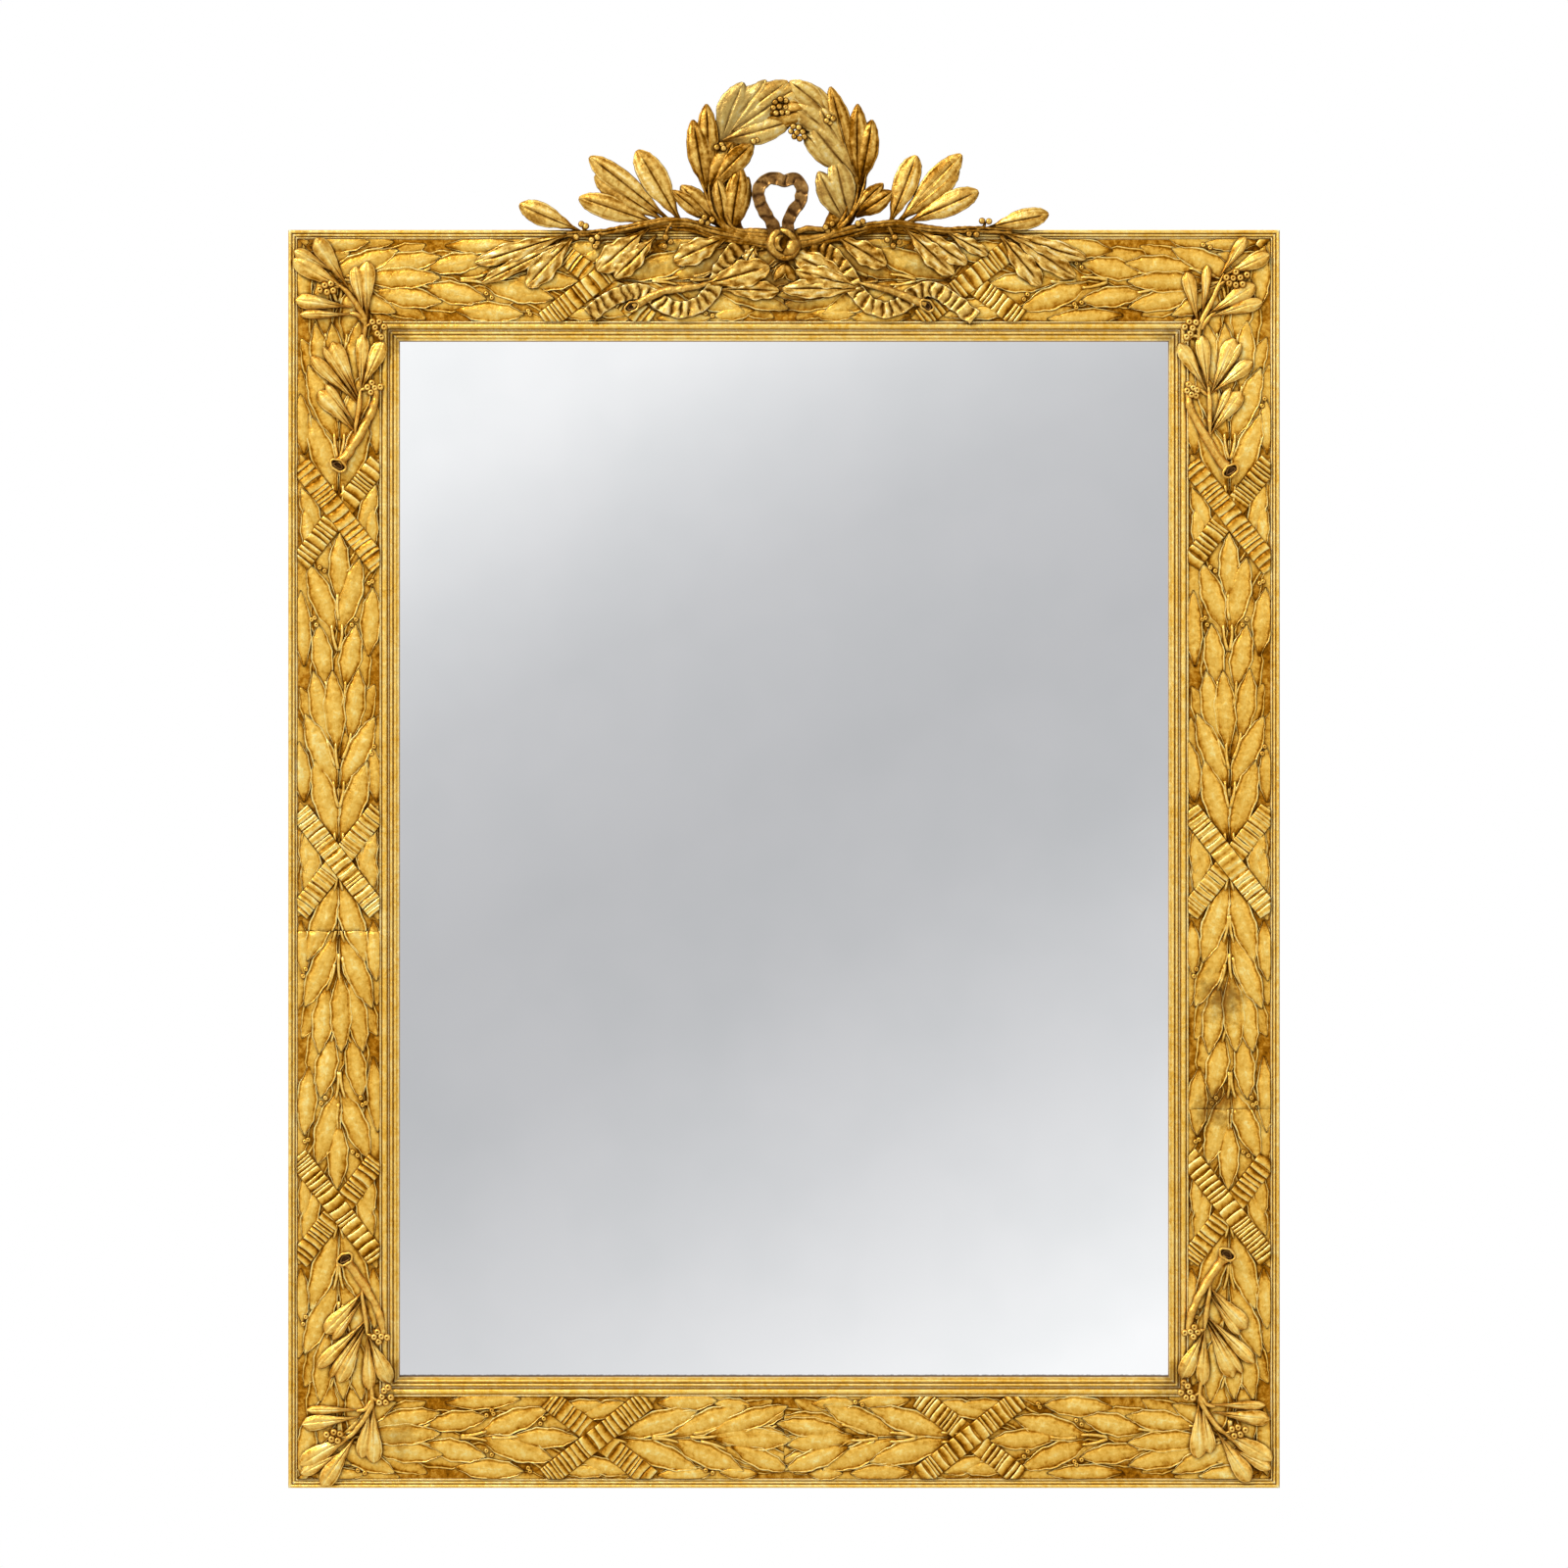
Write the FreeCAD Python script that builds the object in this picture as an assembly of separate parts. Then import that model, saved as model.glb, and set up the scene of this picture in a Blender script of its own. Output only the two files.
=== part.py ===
import FreeCAD, Part
import math
import os

os.makedirs("parts", exist_ok=True)

V = FreeCAD.Vector

# Driving dimensions in millimetres. The frame hangs in the XZ plane, its back at y = 0,
# its face towards -Y, and the origin is the centre of the back.
FRAME_W = 1012.0
FRAME_H = 1284.0
OUTER_MOULD_W = 9.5
FRIEZE_W = 84.0
SIGHT_MOULD_W = 19.5
CARCASS_T = 26.0
PRESSING_T = 2.0
RELIEF_H = 3.0
LIP_T = 8.0
GLASS_T = 4.0
GLASS_REBATE_W = 12.0
GLASS_SIDE_GAP = 2.0
BOARD_T = 8.0
BOARD_REBATE_W = 24.0
BOARD_GAP = 0.5
OVERRUN = 1.0

# Garland: one mould, repeated along every frieze.
BAY = 355.0
GARLAND_DROP = 2.5
RAIL_CROSS_X = 190.0
RIBBON_W = 22.0
RIBBON_PITCH = 5.6
RIBBON_PLEAT = 0.5
RIBBON_SINK = 0.2
RIBBON_ANGLE = 52.0
LEAF_EDGE_H = 1.1
LEAF_STEP_H = 0.05
BERRY_R = 2.4
LEFT_SEAM_Z = -73.5
RIGHT_SEAM_Z = -255.5

# Corner sprays and crest.
SPRAY_EDGE_H = 3.0
SPRAY_CROWN_H = 7.5
SPRAY_BERRY_R = 3.3
STEM_H = 5.0
BRANCH_H = 8.5
CREST_UNIT = 270.0
CREST_EDGE_H = 4.0
CREST_CROWN_H = 8.0
CREST_BERRY_R = 3.6
WREATH_BACK_Y = -18.0
WREATH_CROWN_H = 9.0
WREATH_EDGE_H = 5.0
LOOP_W = 12.5
LOOP_H = 7.0
TAIL_W = 18.0
TAIL_H = 3.6
KNOT_R = 16.5
KNOT_H = 14.0
CUT_END_SIDES = 14

# Irons, blocks, pegs and screws.
PEG_R = 4.0
PEG_L = 20.0
PEG_FIT = 0.05
PEG_SPREAD = 26.0
SCREW_R = 1.75
SCREW_HEAD_R = 3.8
SCREW_HEAD_T = 2.4
BOARD_SCREW_L = 16.0
SCREW_FIT = 0.05
SCREW_SLOT_W = 0.9
SCREW_SLOT_D = 1.1
IRON_W = 14.0
IRON_T = 2.5
IRON_UP = 82.0
IRON_X = 61.0
IRON_SCREW_L = 12.0
BLOCK_L = 46.0
BLOCK_W = 10.0

# Hanging rings.
RING_WIRE_R = 2.0
RING_R = 15.0
EYE_WALL = 1.5
EYE_FIT = 0.05
RING_GAP = 0.35
STRAP_W = 12.0
STRAP_T = 1.5
STRAP_L = 58.0
POCKET_D = 8.0
POCKET_W = 44.0
POCKET_UP = 24.0
HANGER_Z = 400.0
HANGER_X = 462.0
HANGER_SCREW_L = 12.0

# Heights and planes that follow from those.
SECTION_W = OUTER_MOULD_W + FRIEZE_W + SIGHT_MOULD_W
HALF_W = FRAME_W / 2
HALF_H = FRAME_H / 2
SIGHT_X = HALF_W - SECTION_W
SIGHT_Z = HALF_H - SECTION_W
FACE_Y = -CARCASS_T
PLATE_Y = FACE_Y - PRESSING_T
FRONT_Y = PLATE_Y - RELIEF_H
GLASS_FRONT_Y = -(CARCASS_T - LIP_T)
GLASS_BACK_Y = GLASS_FRONT_Y + GLASS_T
MOULD_H = PRESSING_T + RELIEF_H
FRIEZE_MID_X = SIGHT_X + SIGHT_MOULD_W + FRIEZE_W / 2
FRIEZE_MID_Z = SIGHT_Z + SIGHT_MOULD_W + FRIEZE_W / 2

# Moulding sections: start, end and crown of each reed, as shares of width and height.
OUTER_REED_SHARES = ((0.03, 0.38, 1.0), (0.45, 0.70, 0.86), (0.78, 0.95, 0.66))
OUTER_FLOOR_SHARE = 0.45
SIGHT_REED_SHARES = (
    (0.0, 0.055, 0.80), (0.095, 0.39, 1.0), (0.44, 0.48, 0.55),
    (0.53, 0.665, 0.78), (0.705, 0.885, 0.68))
SIGHT_FLOOR_SHARE = 0.38

# Garland leaves: base across, base along, tip across, tip along, width.
GARLAND_SHARES = (
    (-0.03, 0.06, -0.33, 0.29, 0.28), (0.03, 0.06, 0.36, 0.29, 0.28),
    (-0.02, 0.21, -0.40, 0.425, 0.27), (0.03, 0.21, 0.41, 0.42, 0.27),
    (-0.10, 0.33, -0.31, 0.55, 0.27), (0.09, 0.35, 0.22, 0.555, 0.28),
    (-0.02, 0.32, -0.05, 0.55, 0.27), (-0.15, 0.50, -0.24, 0.685, 0.24),
    (0.08, 0.50, 0.235, 0.68, 0.26), (-0.05, 0.66, -0.36, 0.855, 0.27),
    (0.01, 0.66, 0.24, 0.875, 0.28), (0.0, 0.75, -0.01, 0.945, 0.24),
    (-0.42, 0.56, -0.46, 0.78, 0.20), (0.36, 0.59, 0.42, 0.79, 0.24),
    (-0.42, 0.17, -0.46, 0.345, 0.22), (0.46, 0.17, 0.44, 0.33, 0.18))
GARLAND_BERRY_SHARES = (
    (0.16, 0.68), (0.21, 0.695), (-0.33, 0.695), (-0.27, 0.68), (-0.29, 0.70),
    (-0.17, 0.835), (-0.23, 0.845), (0.41, 0.805), (0.37, 0.80), (0.43, 0.33),
    (0.40, 0.31))
GARLAND_OUTLINE_SHARES = (
    (0.0, 0.12), (0.18, 0.62), (0.36, 0.93), (0.52, 1.0), (0.70, 0.84), (0.87, 0.46), (1.0, 0.06))
GARLAND_FLAT_SHARE = 0.24

# Corner spray, from the sight corner outwards and upwards, in shares of the section width.
SPRAY_SHARES = (
    (0.46, 0.48, 0.75, 0.92, 0.16), (0.43, 0.43, 0.95, 0.73, 0.17),
    (0.58, 0.62, 0.94, 0.81, 0.11), (0.42, 0.30, 0.93, 0.365, 0.135),
    (0.38, 0.235, 0.89, 0.235, 0.08), (0.32, 0.20, 0.435, 0.69, 0.12),
    (0.29, 0.18, 0.285, 0.71, 0.15), (0.345, -0.48, 0.325, 0.05, 0.12),
    (0.345, -0.46, 0.14, -0.01, 0.15), (0.37, -0.50, 0.60, -0.02, 0.15),
    (0.37, -0.54, 0.68, -0.06, 0.08), (0.365, -0.57, 0.79, -0.15, 0.12),
    (0.39, -0.83, 0.72, -0.46, 0.15), (0.39, -0.76, 0.655, -0.40, 0.08))
SPRAY_STEM_SHARES = (
    ((0.31, 0.02), (0.30, 0.16), (0.34, 0.26), (0.42, 0.38), (0.50, 0.47), (0.60, 0.515)),
    ((0.30, 0.14), (0.36, 0.225), (0.44, 0.245)),
    ((0.345, -0.45), (0.36, -0.60), (0.385, -0.76), (0.39, -0.86)),
    ((0.30, 0.12), (0.235, 0.16), (0.175, 0.165), (0.13, 0.12)),
    ((0.225, 0.165), (0.205, 0.10), (0.155, 0.035)),
    ((0.54, 0.48), (0.63, 0.47), (0.72, 0.455)),
    ((0.345, -0.45), (0.28, -0.43), (0.19, -0.42)))
SPRAY_STEM_W_SHARES = (0.05, 0.04, 0.045, 0.03, 0.03, 0.03, 0.03)
SPRAY_BRANCH_SHARES = (
    (0.20, -0.43), (0.215, -0.55), (0.25, -0.66), (0.31, -0.78), (0.40, -0.93),
    (0.475, -1.04), (0.53, -1.11))
SPRAY_BRANCH_W_SHARE = 0.088
SPRAY_CUT_SHARES = (0.545, -1.13, 0.078, 0.045, 30.0)
SPRAY_BERRY_SHARES = (
    (0.71, 0.455), (0.665, 0.495), (0.61, 0.51), (0.645, 0.435), (0.59, 0.45),
    (0.235, 0.165), (0.175, 0.165), (0.21, 0.115), (0.13, 0.12), (0.19, 0.06),
    (0.155, 0.03), (0.28, -0.425), (0.24, -0.385), (0.215, -0.43), (0.25, -0.47),
    (0.165, -0.42))
SPRAY_OUTLINE_SHARES = (
    (0.0, 0.14), (0.20, 0.48), (0.40, 0.84), (0.60, 1.0), (0.78, 0.88), (0.91, 0.58), (1.0, 0.14))
BERRY_TOP_SHARE = 0.55
SPRAY_FLAT_SHARE = 0.12

# Crest leaves, from the middle of the frame's top edge, in shares of the crest's half span.
BRANCH_LEFT_SHARES = (
    (-0.77, -0.005, -1.00, 0.095, 0.085), (-0.50, 0.03, -0.775, 0.12, 0.085),
    (-0.47, 0.05, -0.735, 0.275, 0.085), (-0.48, 0.045, -0.715, 0.205, 0.095),
    (-0.425, 0.04, -0.555, 0.30, 0.10), (-0.80, -0.015, -1.165, -0.125, 0.07),
    (-0.80, -0.03, -1.14, -0.20, 0.055), (-0.79, -0.02, -0.97, -0.215, 0.09),
    (-0.55, 0.0, -0.715, -0.155, 0.085), (-0.48, -0.02, -0.64, -0.18, 0.08),
    (-0.20, -0.02, -0.415, -0.12, 0.09))
BRANCH_LEFT_STEM_SHARES = (
    (-0.05, -0.035), (-0.13, -0.03), (-0.27, 0.0), (-0.34, 0.025), (-0.42, 0.035),
    (-0.50, 0.025), (-0.60, 0.005), (-0.70, -0.01), (-0.82, -0.015))
BRANCH_LEFT_TWIG_SHARES = (
    ((-0.715, -0.01), (-0.715, -0.065)), ((-0.44, 0.03), (-0.445, -0.065)),
    ((-0.77, -0.01), (-0.765, 0.03)), ((-0.785, -0.01), (-0.785, -0.03)))
BRANCH_LEFT_BERRY_SHARES = (
    (-0.765, 0.03), (-0.785, -0.028), (-0.727, -0.04), (-0.705, -0.03), (-0.713, -0.063),
    (-0.447, -0.03), (-0.428, -0.047), (-0.45, -0.063), (-0.32, 0.03), (-0.29, 0.018))
BRANCH_RIGHT_SHARES = (
    (0.76, 0.005, 1.00, 0.06, 0.08), (0.47, 0.03, 0.735, 0.145, 0.085),
    (0.46, 0.03, 0.67, 0.285, 0.085), (0.45, 0.03, 0.66, 0.235, 0.09),
    (0.44, 0.03, 0.50, 0.28, 0.09), (0.45, 0.01, 0.64, -0.17, 0.08),
    (0.48, 0.01, 0.69, -0.13, 0.07), (0.81, -0.01, 0.97, -0.21, 0.08),
    (0.84, -0.01, 1.10, -0.18, 0.075), (0.80, -0.005, 1.14, -0.11, 0.065),
    (0.60, 0.0, 0.77, -0.095, 0.05), (0.19, -0.02, 0.385, -0.135, 0.085))
BRANCH_RIGHT_STEM_SHARES = (
    (0.05, -0.04), (0.13, -0.03), (0.25, 0.0), (0.33, 0.015), (0.44, 0.022),
    (0.52, 0.01), (0.62, -0.002), (0.72, 0.0), (0.86, -0.01))
BRANCH_RIGHT_TWIG_SHARES = (
    ((0.41, 0.02), (0.41, -0.06)), ((0.76, 0.0), (0.76, 0.045)),
    ((0.715, 0.0), (0.715, -0.02)))
BRANCH_RIGHT_BERRY_SHARES = (
    (0.75, 0.045), (0.775, 0.043), (0.70, -0.017), (0.727, -0.02), (0.39, -0.04),
    (0.413, -0.06), (0.418, -0.03), (0.295, 0.03))
SPRIG_LEFT_SHARES = ((-0.30, -0.19, -0.055, -0.14, 0.085), (-0.30, -0.215, -0.01, -0.225, 0.07))
SPRIG_LEFT_STEM_SHARES = (
    (-0.26, -0.19), (-0.33, -0.215), (-0.40, -0.225), (-0.46, -0.235), (-0.52, -0.262),
    (-0.57, -0.29))
SPRIG_LEFT_CUT_SHARES = (-0.575, -0.293, 0.032, 0.02, 25.0)
SPRIG_RIGHT_SHARES = ((0.32, -0.21, 0.045, -0.16, 0.08), (0.31, -0.22, 0.01, -0.215, 0.07))
SPRIG_RIGHT_STEM_SHARES = (
    (0.28, -0.20), (0.36, -0.22), (0.42, -0.238), (0.48, -0.262), (0.535, -0.285))
SPRIG_RIGHT_CUT_SHARES = (0.54, -0.288, 0.032, 0.022, -35.0)
TAIL_LEFT_SHARES = (
    (-0.03, -0.05), (-0.12, -0.05), (-0.19, -0.085), (-0.235, -0.15), (-0.265, -0.22),
    (-0.315, -0.28), (-0.385, -0.303), (-0.45, -0.285), (-0.50, -0.25), (-0.56, -0.235),
    (-0.63, -0.25), (-0.69, -0.285), (-0.735, -0.322))
TAIL_RIGHT_SHARES = (
    (0.03, -0.05), (0.11, -0.065), (0.18, -0.095), (0.235, -0.16), (0.275, -0.235),
    (0.325, -0.285), (0.39, -0.303), (0.45, -0.28), (0.50, -0.24), (0.555, -0.225),
    (0.61, -0.25), (0.665, -0.29), (0.72, -0.335))
WREATH_LEFT_SHARES = (
    (-0.295, 0.17, -0.345, 0.415, 0.07), (-0.285, 0.22, -0.293, 0.472, 0.065),
    (-0.24, 0.34, -0.155, 0.557, 0.10), (-0.22, 0.35, -0.095, 0.547, 0.10),
    (-0.22, 0.345, 0.025, 0.405, 0.09), (-0.17, 0.42, 0.01, 0.56, 0.085),
    (-0.15, 0.44, -0.075, 0.57, 0.055), (-0.28, 0.17, -0.20, 0.32, 0.09),
    (-0.27, 0.19, -0.115, 0.325, 0.08), (-0.20, 0.0, -0.165, 0.235, 0.08),
    (-0.215, 0.0, -0.255, 0.19, 0.05), (-0.25, 0.03, -0.39, 0.167, 0.08),
    (-0.27, 0.03, -0.425, 0.148, 0.07))
WREATH_LEFT_STEM_SHARES = (
    (-0.16, -0.01), (-0.215, 0.03), (-0.26, 0.09), (-0.283, 0.16), (-0.28, 0.22),
    (-0.26, 0.30), (-0.21, 0.37), (-0.12, 0.44))
WREATH_LEFT_BERRY_SHARES = (
    (-0.035, 0.475), (-0.012, 0.492), (0.006, 0.485), (-0.018, 0.462), (-0.008, 0.443),
    (0.006, 0.463), (-0.035, 0.44), (-0.245, 0.325), (-0.262, 0.312), (-0.24, 0.338),
    (-0.115, 0.337))
WREATH_RIGHT_SHARES = (
    (0.29, 0.18, 0.333, 0.415, 0.07), (0.28, 0.22, 0.278, 0.472, 0.06),
    (0.26, 0.24, 0.175, 0.538, 0.075), (0.19, 0.41, 0.055, 0.555, 0.09),
    (0.18, 0.40, 0.04, 0.46, 0.08), (0.27, 0.22, 0.095, 0.39, 0.10),
    (0.21, 0.25, 0.08, 0.36, 0.06), (0.23, 0.04, 0.13, 0.215, 0.08),
    (0.25, 0.04, 0.19, 0.265, 0.09), (0.27, 0.06, 0.41, 0.145, 0.065),
    (0.27, 0.08, 0.375, 0.175, 0.06))
WREATH_RIGHT_STEM_SHARES = (
    (0.15, -0.01), (0.22, 0.03), (0.265, 0.09), (0.283, 0.16), (0.278, 0.22),
    (0.255, 0.30), (0.21, 0.37), (0.14, 0.45))
WREATH_RIGHT_BERRY_SHARES = (
    (0.052, 0.39), (0.04, 0.372), (0.065, 0.37), (0.055, 0.35), (0.075, 0.352),
    (0.175, 0.43), (0.17, 0.408), (0.19, 0.412), (0.03, 0.38), (0.172, 0.025))
LOOP_SHARES = (
    (-0.035, -0.03), (-0.04, 0.01), (-0.06, 0.045), (-0.085, 0.09), (-0.098, 0.135),
    (-0.085, 0.172), (-0.045, 0.188), (0.005, 0.185), (0.045, 0.186), (0.064, 0.155),
    (0.062, 0.11), (0.036, 0.07), (0.018, 0.035), (0.015, -0.03))
STEM_W_SHARE = 0.034
TWIG_W_SHARE = 0.016
KNOT_SHARES = (0.0, -0.052)

# Where the separate small fixings stand.
PEG_SIDES = ((-1, 1), (1, 1), (-1, -1), (1, -1))
BOARD_SCREW_SHARES = (-0.9, -0.48, 0.0, 0.48, 0.9)
SIDE_SCREW_SHARES = (-0.8, -0.4, 0.0, 0.4, 0.8)
BLOCK_SHARES = (-0.7, 0.0, 0.7)
IRON_SCREW_SHARES = (0.20, 0.82)
STRAP_SCREW_SHARES = (0.40, 0.62, 0.84)


def box(x0, x1, y0, y1, z0, z1):
    return Part.makeBox(x1 - x0, y1 - y0, z1 - z0, V(x0, y0, z0))


def prism(points, y_back, y_front):
    corners = [V(x, y_back, z) for x, z in points]
    wire = Part.makePolygon(corners + [corners[0]])
    return Part.Face(wire).extrude(V(0, y_front - y_back, 0))


def joined(shapes):
    if len(shapes) == 1:
        return shapes[0]
    return shapes[0].multiFuse(shapes[1:])


def turned(shape, degrees):
    copy = shape.copy()
    copy.rotate(V(0, 0, 0), V(0, 1, 0), degrees)
    return copy


def one_solid(shape):
    solids = sorted(shape.Solids, key=lambda s: -s.Volume)
    return solids[0]


def save(name, shape):
    solids = shape.Solids
    kept = solids[0] if len(solids) == 1 else Part.makeCompound(solids)
    kept.exportStep("parts/" + name + ".step")
    print(name, "solids", len(solids), "valid", kept.isValid(), "volume", round(kept.Volume))


# A leaf lies flat on its back face: a faceted outline with a crown that falls from a flat
# midrib to a thin edge.
def leaf(base, tip, width, back_y, edge, crown, outline, flat_share, back_extra=0):
    dx = tip[0] - base[0]
    dz = tip[1] - base[1]
    length = math.hypot(dx, dz)
    half = width / 2
    upper = [(share * length, reach * half) for share, reach in outline]
    points = upper + [(x, -z) for x, z in reversed(upper)]
    body = prism(points, 0, -crown)
    flat = half * flat_share
    wide = half * 2
    fall = (crown - edge) / (half - flat)
    low = crown - fall * (wide - flat)
    section = [V(-width, 0, -wide), V(-width, -low, -wide), V(-width, -crown, -flat),
               V(-width, -crown, flat), V(-width, -low, wide), V(-width, 0, wide)]
    if low < 0:
        reach = flat + crown / fall
        section = [V(-width, 0, -reach), V(-width, -crown, -flat),
                   V(-width, -crown, flat), V(-width, 0, reach)]
    roof = Part.Face(Part.makePolygon(section + [section[0]])).extrude(V(length + 2 * width, 0, 0))
    solid = body.common(roof)
    if back_extra:
        solid = solid.fuse(prism(points, 0, back_extra))
    solid.rotate(V(0, 0, 0), V(0, 1, 0), -math.degrees(math.atan2(dz, dx)))
    solid.translate(V(base[0], back_y, base[1]))
    return solid


# A berry is a short drum with a bevelled top, standing on the same back face.
def berry(place, radius, back_y, height, back_extra=0):
    rim = height - radius / 2
    points = [V(0, back_extra, 0), V(radius, back_extra, 0), V(radius, -rim, 0),
              V(radius * BERRY_TOP_SHARE, -height, 0), V(0, -height, 0)]
    solid = Part.Face(Part.makePolygon(points + [points[0]])).revolve(V(0, 0, 0), V(0, 1, 0), 360)
    solid.translate(V(place[0], back_y, place[1]))
    return solid


# A band follows a centreline with its corners mitred: stems, ribbons and branches.
def band_outline(points, width):
    left = []
    right = []
    for i, point in enumerate(points):
        before = points[max(i - 1, 0)]
        after = points[min(i + 1, len(points) - 1)]
        first = (point[0] - before[0], point[1] - before[1])
        second = (after[0] - point[0], after[1] - point[1])
        first = first if i > 0 else second
        second = second if i < len(points) - 1 else first
        a = math.atan2(first[1], first[0])
        b = math.atan2(second[1], second[0])
        turn = (b - a + math.pi) % (2 * math.pi) - math.pi
        middle = a + turn / 2
        reach = width / 2 / math.cos(turn / 2)
        nx = -math.sin(middle) * reach
        nz = math.cos(middle) * reach
        left.append((point[0] + nx, point[1] + nz))
        right.append((point[0] - nx, point[1] - nz))
    return left + right[::-1]


def band(points, width, y_back, y_front):
    return prism(band_outline(points, width), y_back, y_front)


def cut_end(place, long_r, short_r, degrees, y_back, y_front):
    points = []
    for i in range(CUT_END_SIDES):
        angle = 2 * math.pi * i / CUT_END_SIDES
        points.append((long_r * math.cos(angle), short_r * math.sin(angle)))
    solid = prism(points, 0, y_front - y_back)
    solid.rotate(V(0, 0, 0), V(0, 1, 0), -degrees)
    solid.translate(V(place[0], y_back, place[1]))
    return solid


# Carcass: stiles and rails half-lapped at the corners, with a stepped rebate behind.
def rebate_steps():
    glass = box(-SIGHT_X - GLASS_REBATE_W, SIGHT_X + GLASS_REBATE_W, GLASS_FRONT_Y, OVERRUN,
                -SIGHT_Z - GLASS_REBATE_W, SIGHT_Z + GLASS_REBATE_W)
    board = box(-SIGHT_X - BOARD_REBATE_W, SIGHT_X + BOARD_REBATE_W, -BOARD_T, OVERRUN,
                -SIGHT_Z - BOARD_REBATE_W, SIGHT_Z + BOARD_REBATE_W)
    return glass.fuse(board)


def lap_y():
    return FACE_Y / 2


def stile(side):
    x0, x1 = sorted((side * SIGHT_X, side * HALF_W))
    body = box(x0, x1, FACE_Y, 0, -HALF_H, HALF_H)
    for end in (-1, 1):
        z0, z1 = sorted((end * SIGHT_Z, end * (HALF_H + OVERRUN)))
        body = body.cut(box(x0 - OVERRUN, x1 + OVERRUN, FACE_Y - OVERRUN, lap_y(), z0, z1))
    return body.cut(rebate_steps())


def rail(end):
    z0, z1 = sorted((end * SIGHT_Z, end * HALF_H))
    body = box(-HALF_W, HALF_W, FACE_Y, 0, z0, z1)
    for side in (-1, 1):
        x0, x1 = sorted((side * SIGHT_X, side * (HALF_W + OVERRUN)))
        body = body.cut(box(x0, x1, lap_y(), OVERRUN, z0 - OVERRUN, z1 + OVERRUN))
    return body.cut(rebate_steps())


def pegs(radius):
    made = []
    for side, end in PEG_SIDES:
        x = side * (HALF_W - SECTION_W / 2 + BOARD_REBATE_W / 2)
        z = end * (HALF_H - SECTION_W / 2 + BOARD_REBATE_W / 2)
        for step in (-1, 1):
            place = V(x + step * side * PEG_SPREAD / 2, 0, z - step * end * PEG_SPREAD / 2)
            made.append(Part.makeCylinder(radius, PEG_L, place, V(0, -1, 0)))
    return made


# Countersunk slotted screws, driven along a given direction.
def screw_blank(place, direction, length, fit=0):
    neck = SCREW_R + fit
    head = SCREW_HEAD_R + fit
    points = [V(0, 0, 0), V(head, 0, 0), V(neck, 0, -SCREW_HEAD_T), V(neck, 0, -length), V(0, 0, -length)]
    face = Part.Face(Part.makePolygon(points + [points[0]]))
    solid = face.revolve(V(0, 0, 0), V(0, 0, 1), 360)
    spin = FreeCAD.Rotation(V(0, 0, -1), V(*direction))
    solid.Placement = FreeCAD.Placement(V(*place), spin)
    return solid


def screw(place, direction, length):
    blank = screw_blank((0, 0, 0), (0, 0, -1), length)
    slot = Part.makeBox(2 * SCREW_HEAD_R, SCREW_SLOT_W, SCREW_SLOT_D + OVERRUN,
                        V(-SCREW_HEAD_R, -SCREW_SLOT_W / 2, -SCREW_SLOT_D))
    solid = blank.cut(slot)
    spin = FreeCAD.Rotation(V(0, 0, -1), V(*direction))
    solid.Placement = FreeCAD.Placement(V(*place), spin)
    return solid


def board_screw_places():
    x = SIGHT_X + (GLASS_REBATE_W + BOARD_REBATE_W) / 2
    z = SIGHT_Z + (GLASS_REBATE_W + BOARD_REBATE_W) / 2
    places = [(share * SIGHT_X, 0, end * z) for share in BOARD_SCREW_SHARES for end in (-1, 1)]
    places += [(side * x, 0, share * SIGHT_Z) for share in SIDE_SCREW_SHARES for side in (-1, 1)]
    return places


def iron_screw_places():
    places = []
    for side in (-1, 1):
        for share in IRON_SCREW_SHARES:
            places.append((side * IRON_X, WREATH_BACK_Y + IRON_T, HALF_H + IRON_UP * share))
    return places


def iron_foot_places():
    y = (WREATH_BACK_Y + IRON_T) / 2
    return [(side * IRON_X, y, HALF_H + IRON_T) for side in (-1, 1)]


def hanger_screw_places(side):
    y = -POCKET_D + STRAP_T
    return [(side * HANGER_X, y, HANGER_Z - STRAP_L * share) for share in STRAP_SCREW_SHARES]


# Mouldings: one reeded section, mitred at forty-five degrees at both ends.
def reed_section(width, height, floor_share, reeds, outer, start_x):
    floor = height * floor_share
    def spot(share, level):
        return V(start_x, FACE_Y - level, outer - share * width)
    edges = [Part.makeLine(spot(0, 0), spot(0, floor))]
    at = 0.0
    for first, last, crown in reeds:
        if first > at:
            edges.append(Part.makeLine(spot(at, floor), spot(first, floor)))
        top = spot((first + last) / 2, height * crown)
        edges.append(Part.Arc(spot(first, floor), top, spot(last, floor)).toShape())
        at = last
    if at < 1:
        edges.append(Part.makeLine(spot(at, floor), spot(1, floor)))
    edges.append(Part.makeLine(spot(1, floor), spot(1, 0)))
    edges.append(Part.makeLine(spot(1, 0), spot(0, 0)))
    return Part.Face(Part.Wire(edges))


def mitre_zone(half_len, outer, width):
    points = [(-half_len, outer), (half_len, outer), (half_len - width, outer - width),
              (-half_len + width, outer - width)]
    return prism(points, OVERRUN, FRONT_Y - OVERRUN)


def moulding(half_len, outer, width, floor_share, reeds, degrees, flip):
    shares = reeds
    if flip:
        shares = tuple((1 - last, 1 - first, crown) for first, last, crown in reversed(reeds))
    face = reed_section(width, MOULD_H, floor_share, shares, outer, -half_len)
    run = face.extrude(V(2 * half_len, 0, 0))
    return turned(run.common(mitre_zone(half_len, outer, width)), degrees)


# Garland strips. A run has a start, a way of growth and a way across.
def run_spot(run, across, along):
    ox, oz, gx, gz = run
    return (ox + gz * across * FRIEZE_W + gx * along * BAY,
            oz - gx * across * FRIEZE_W + gz * along * BAY)


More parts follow.
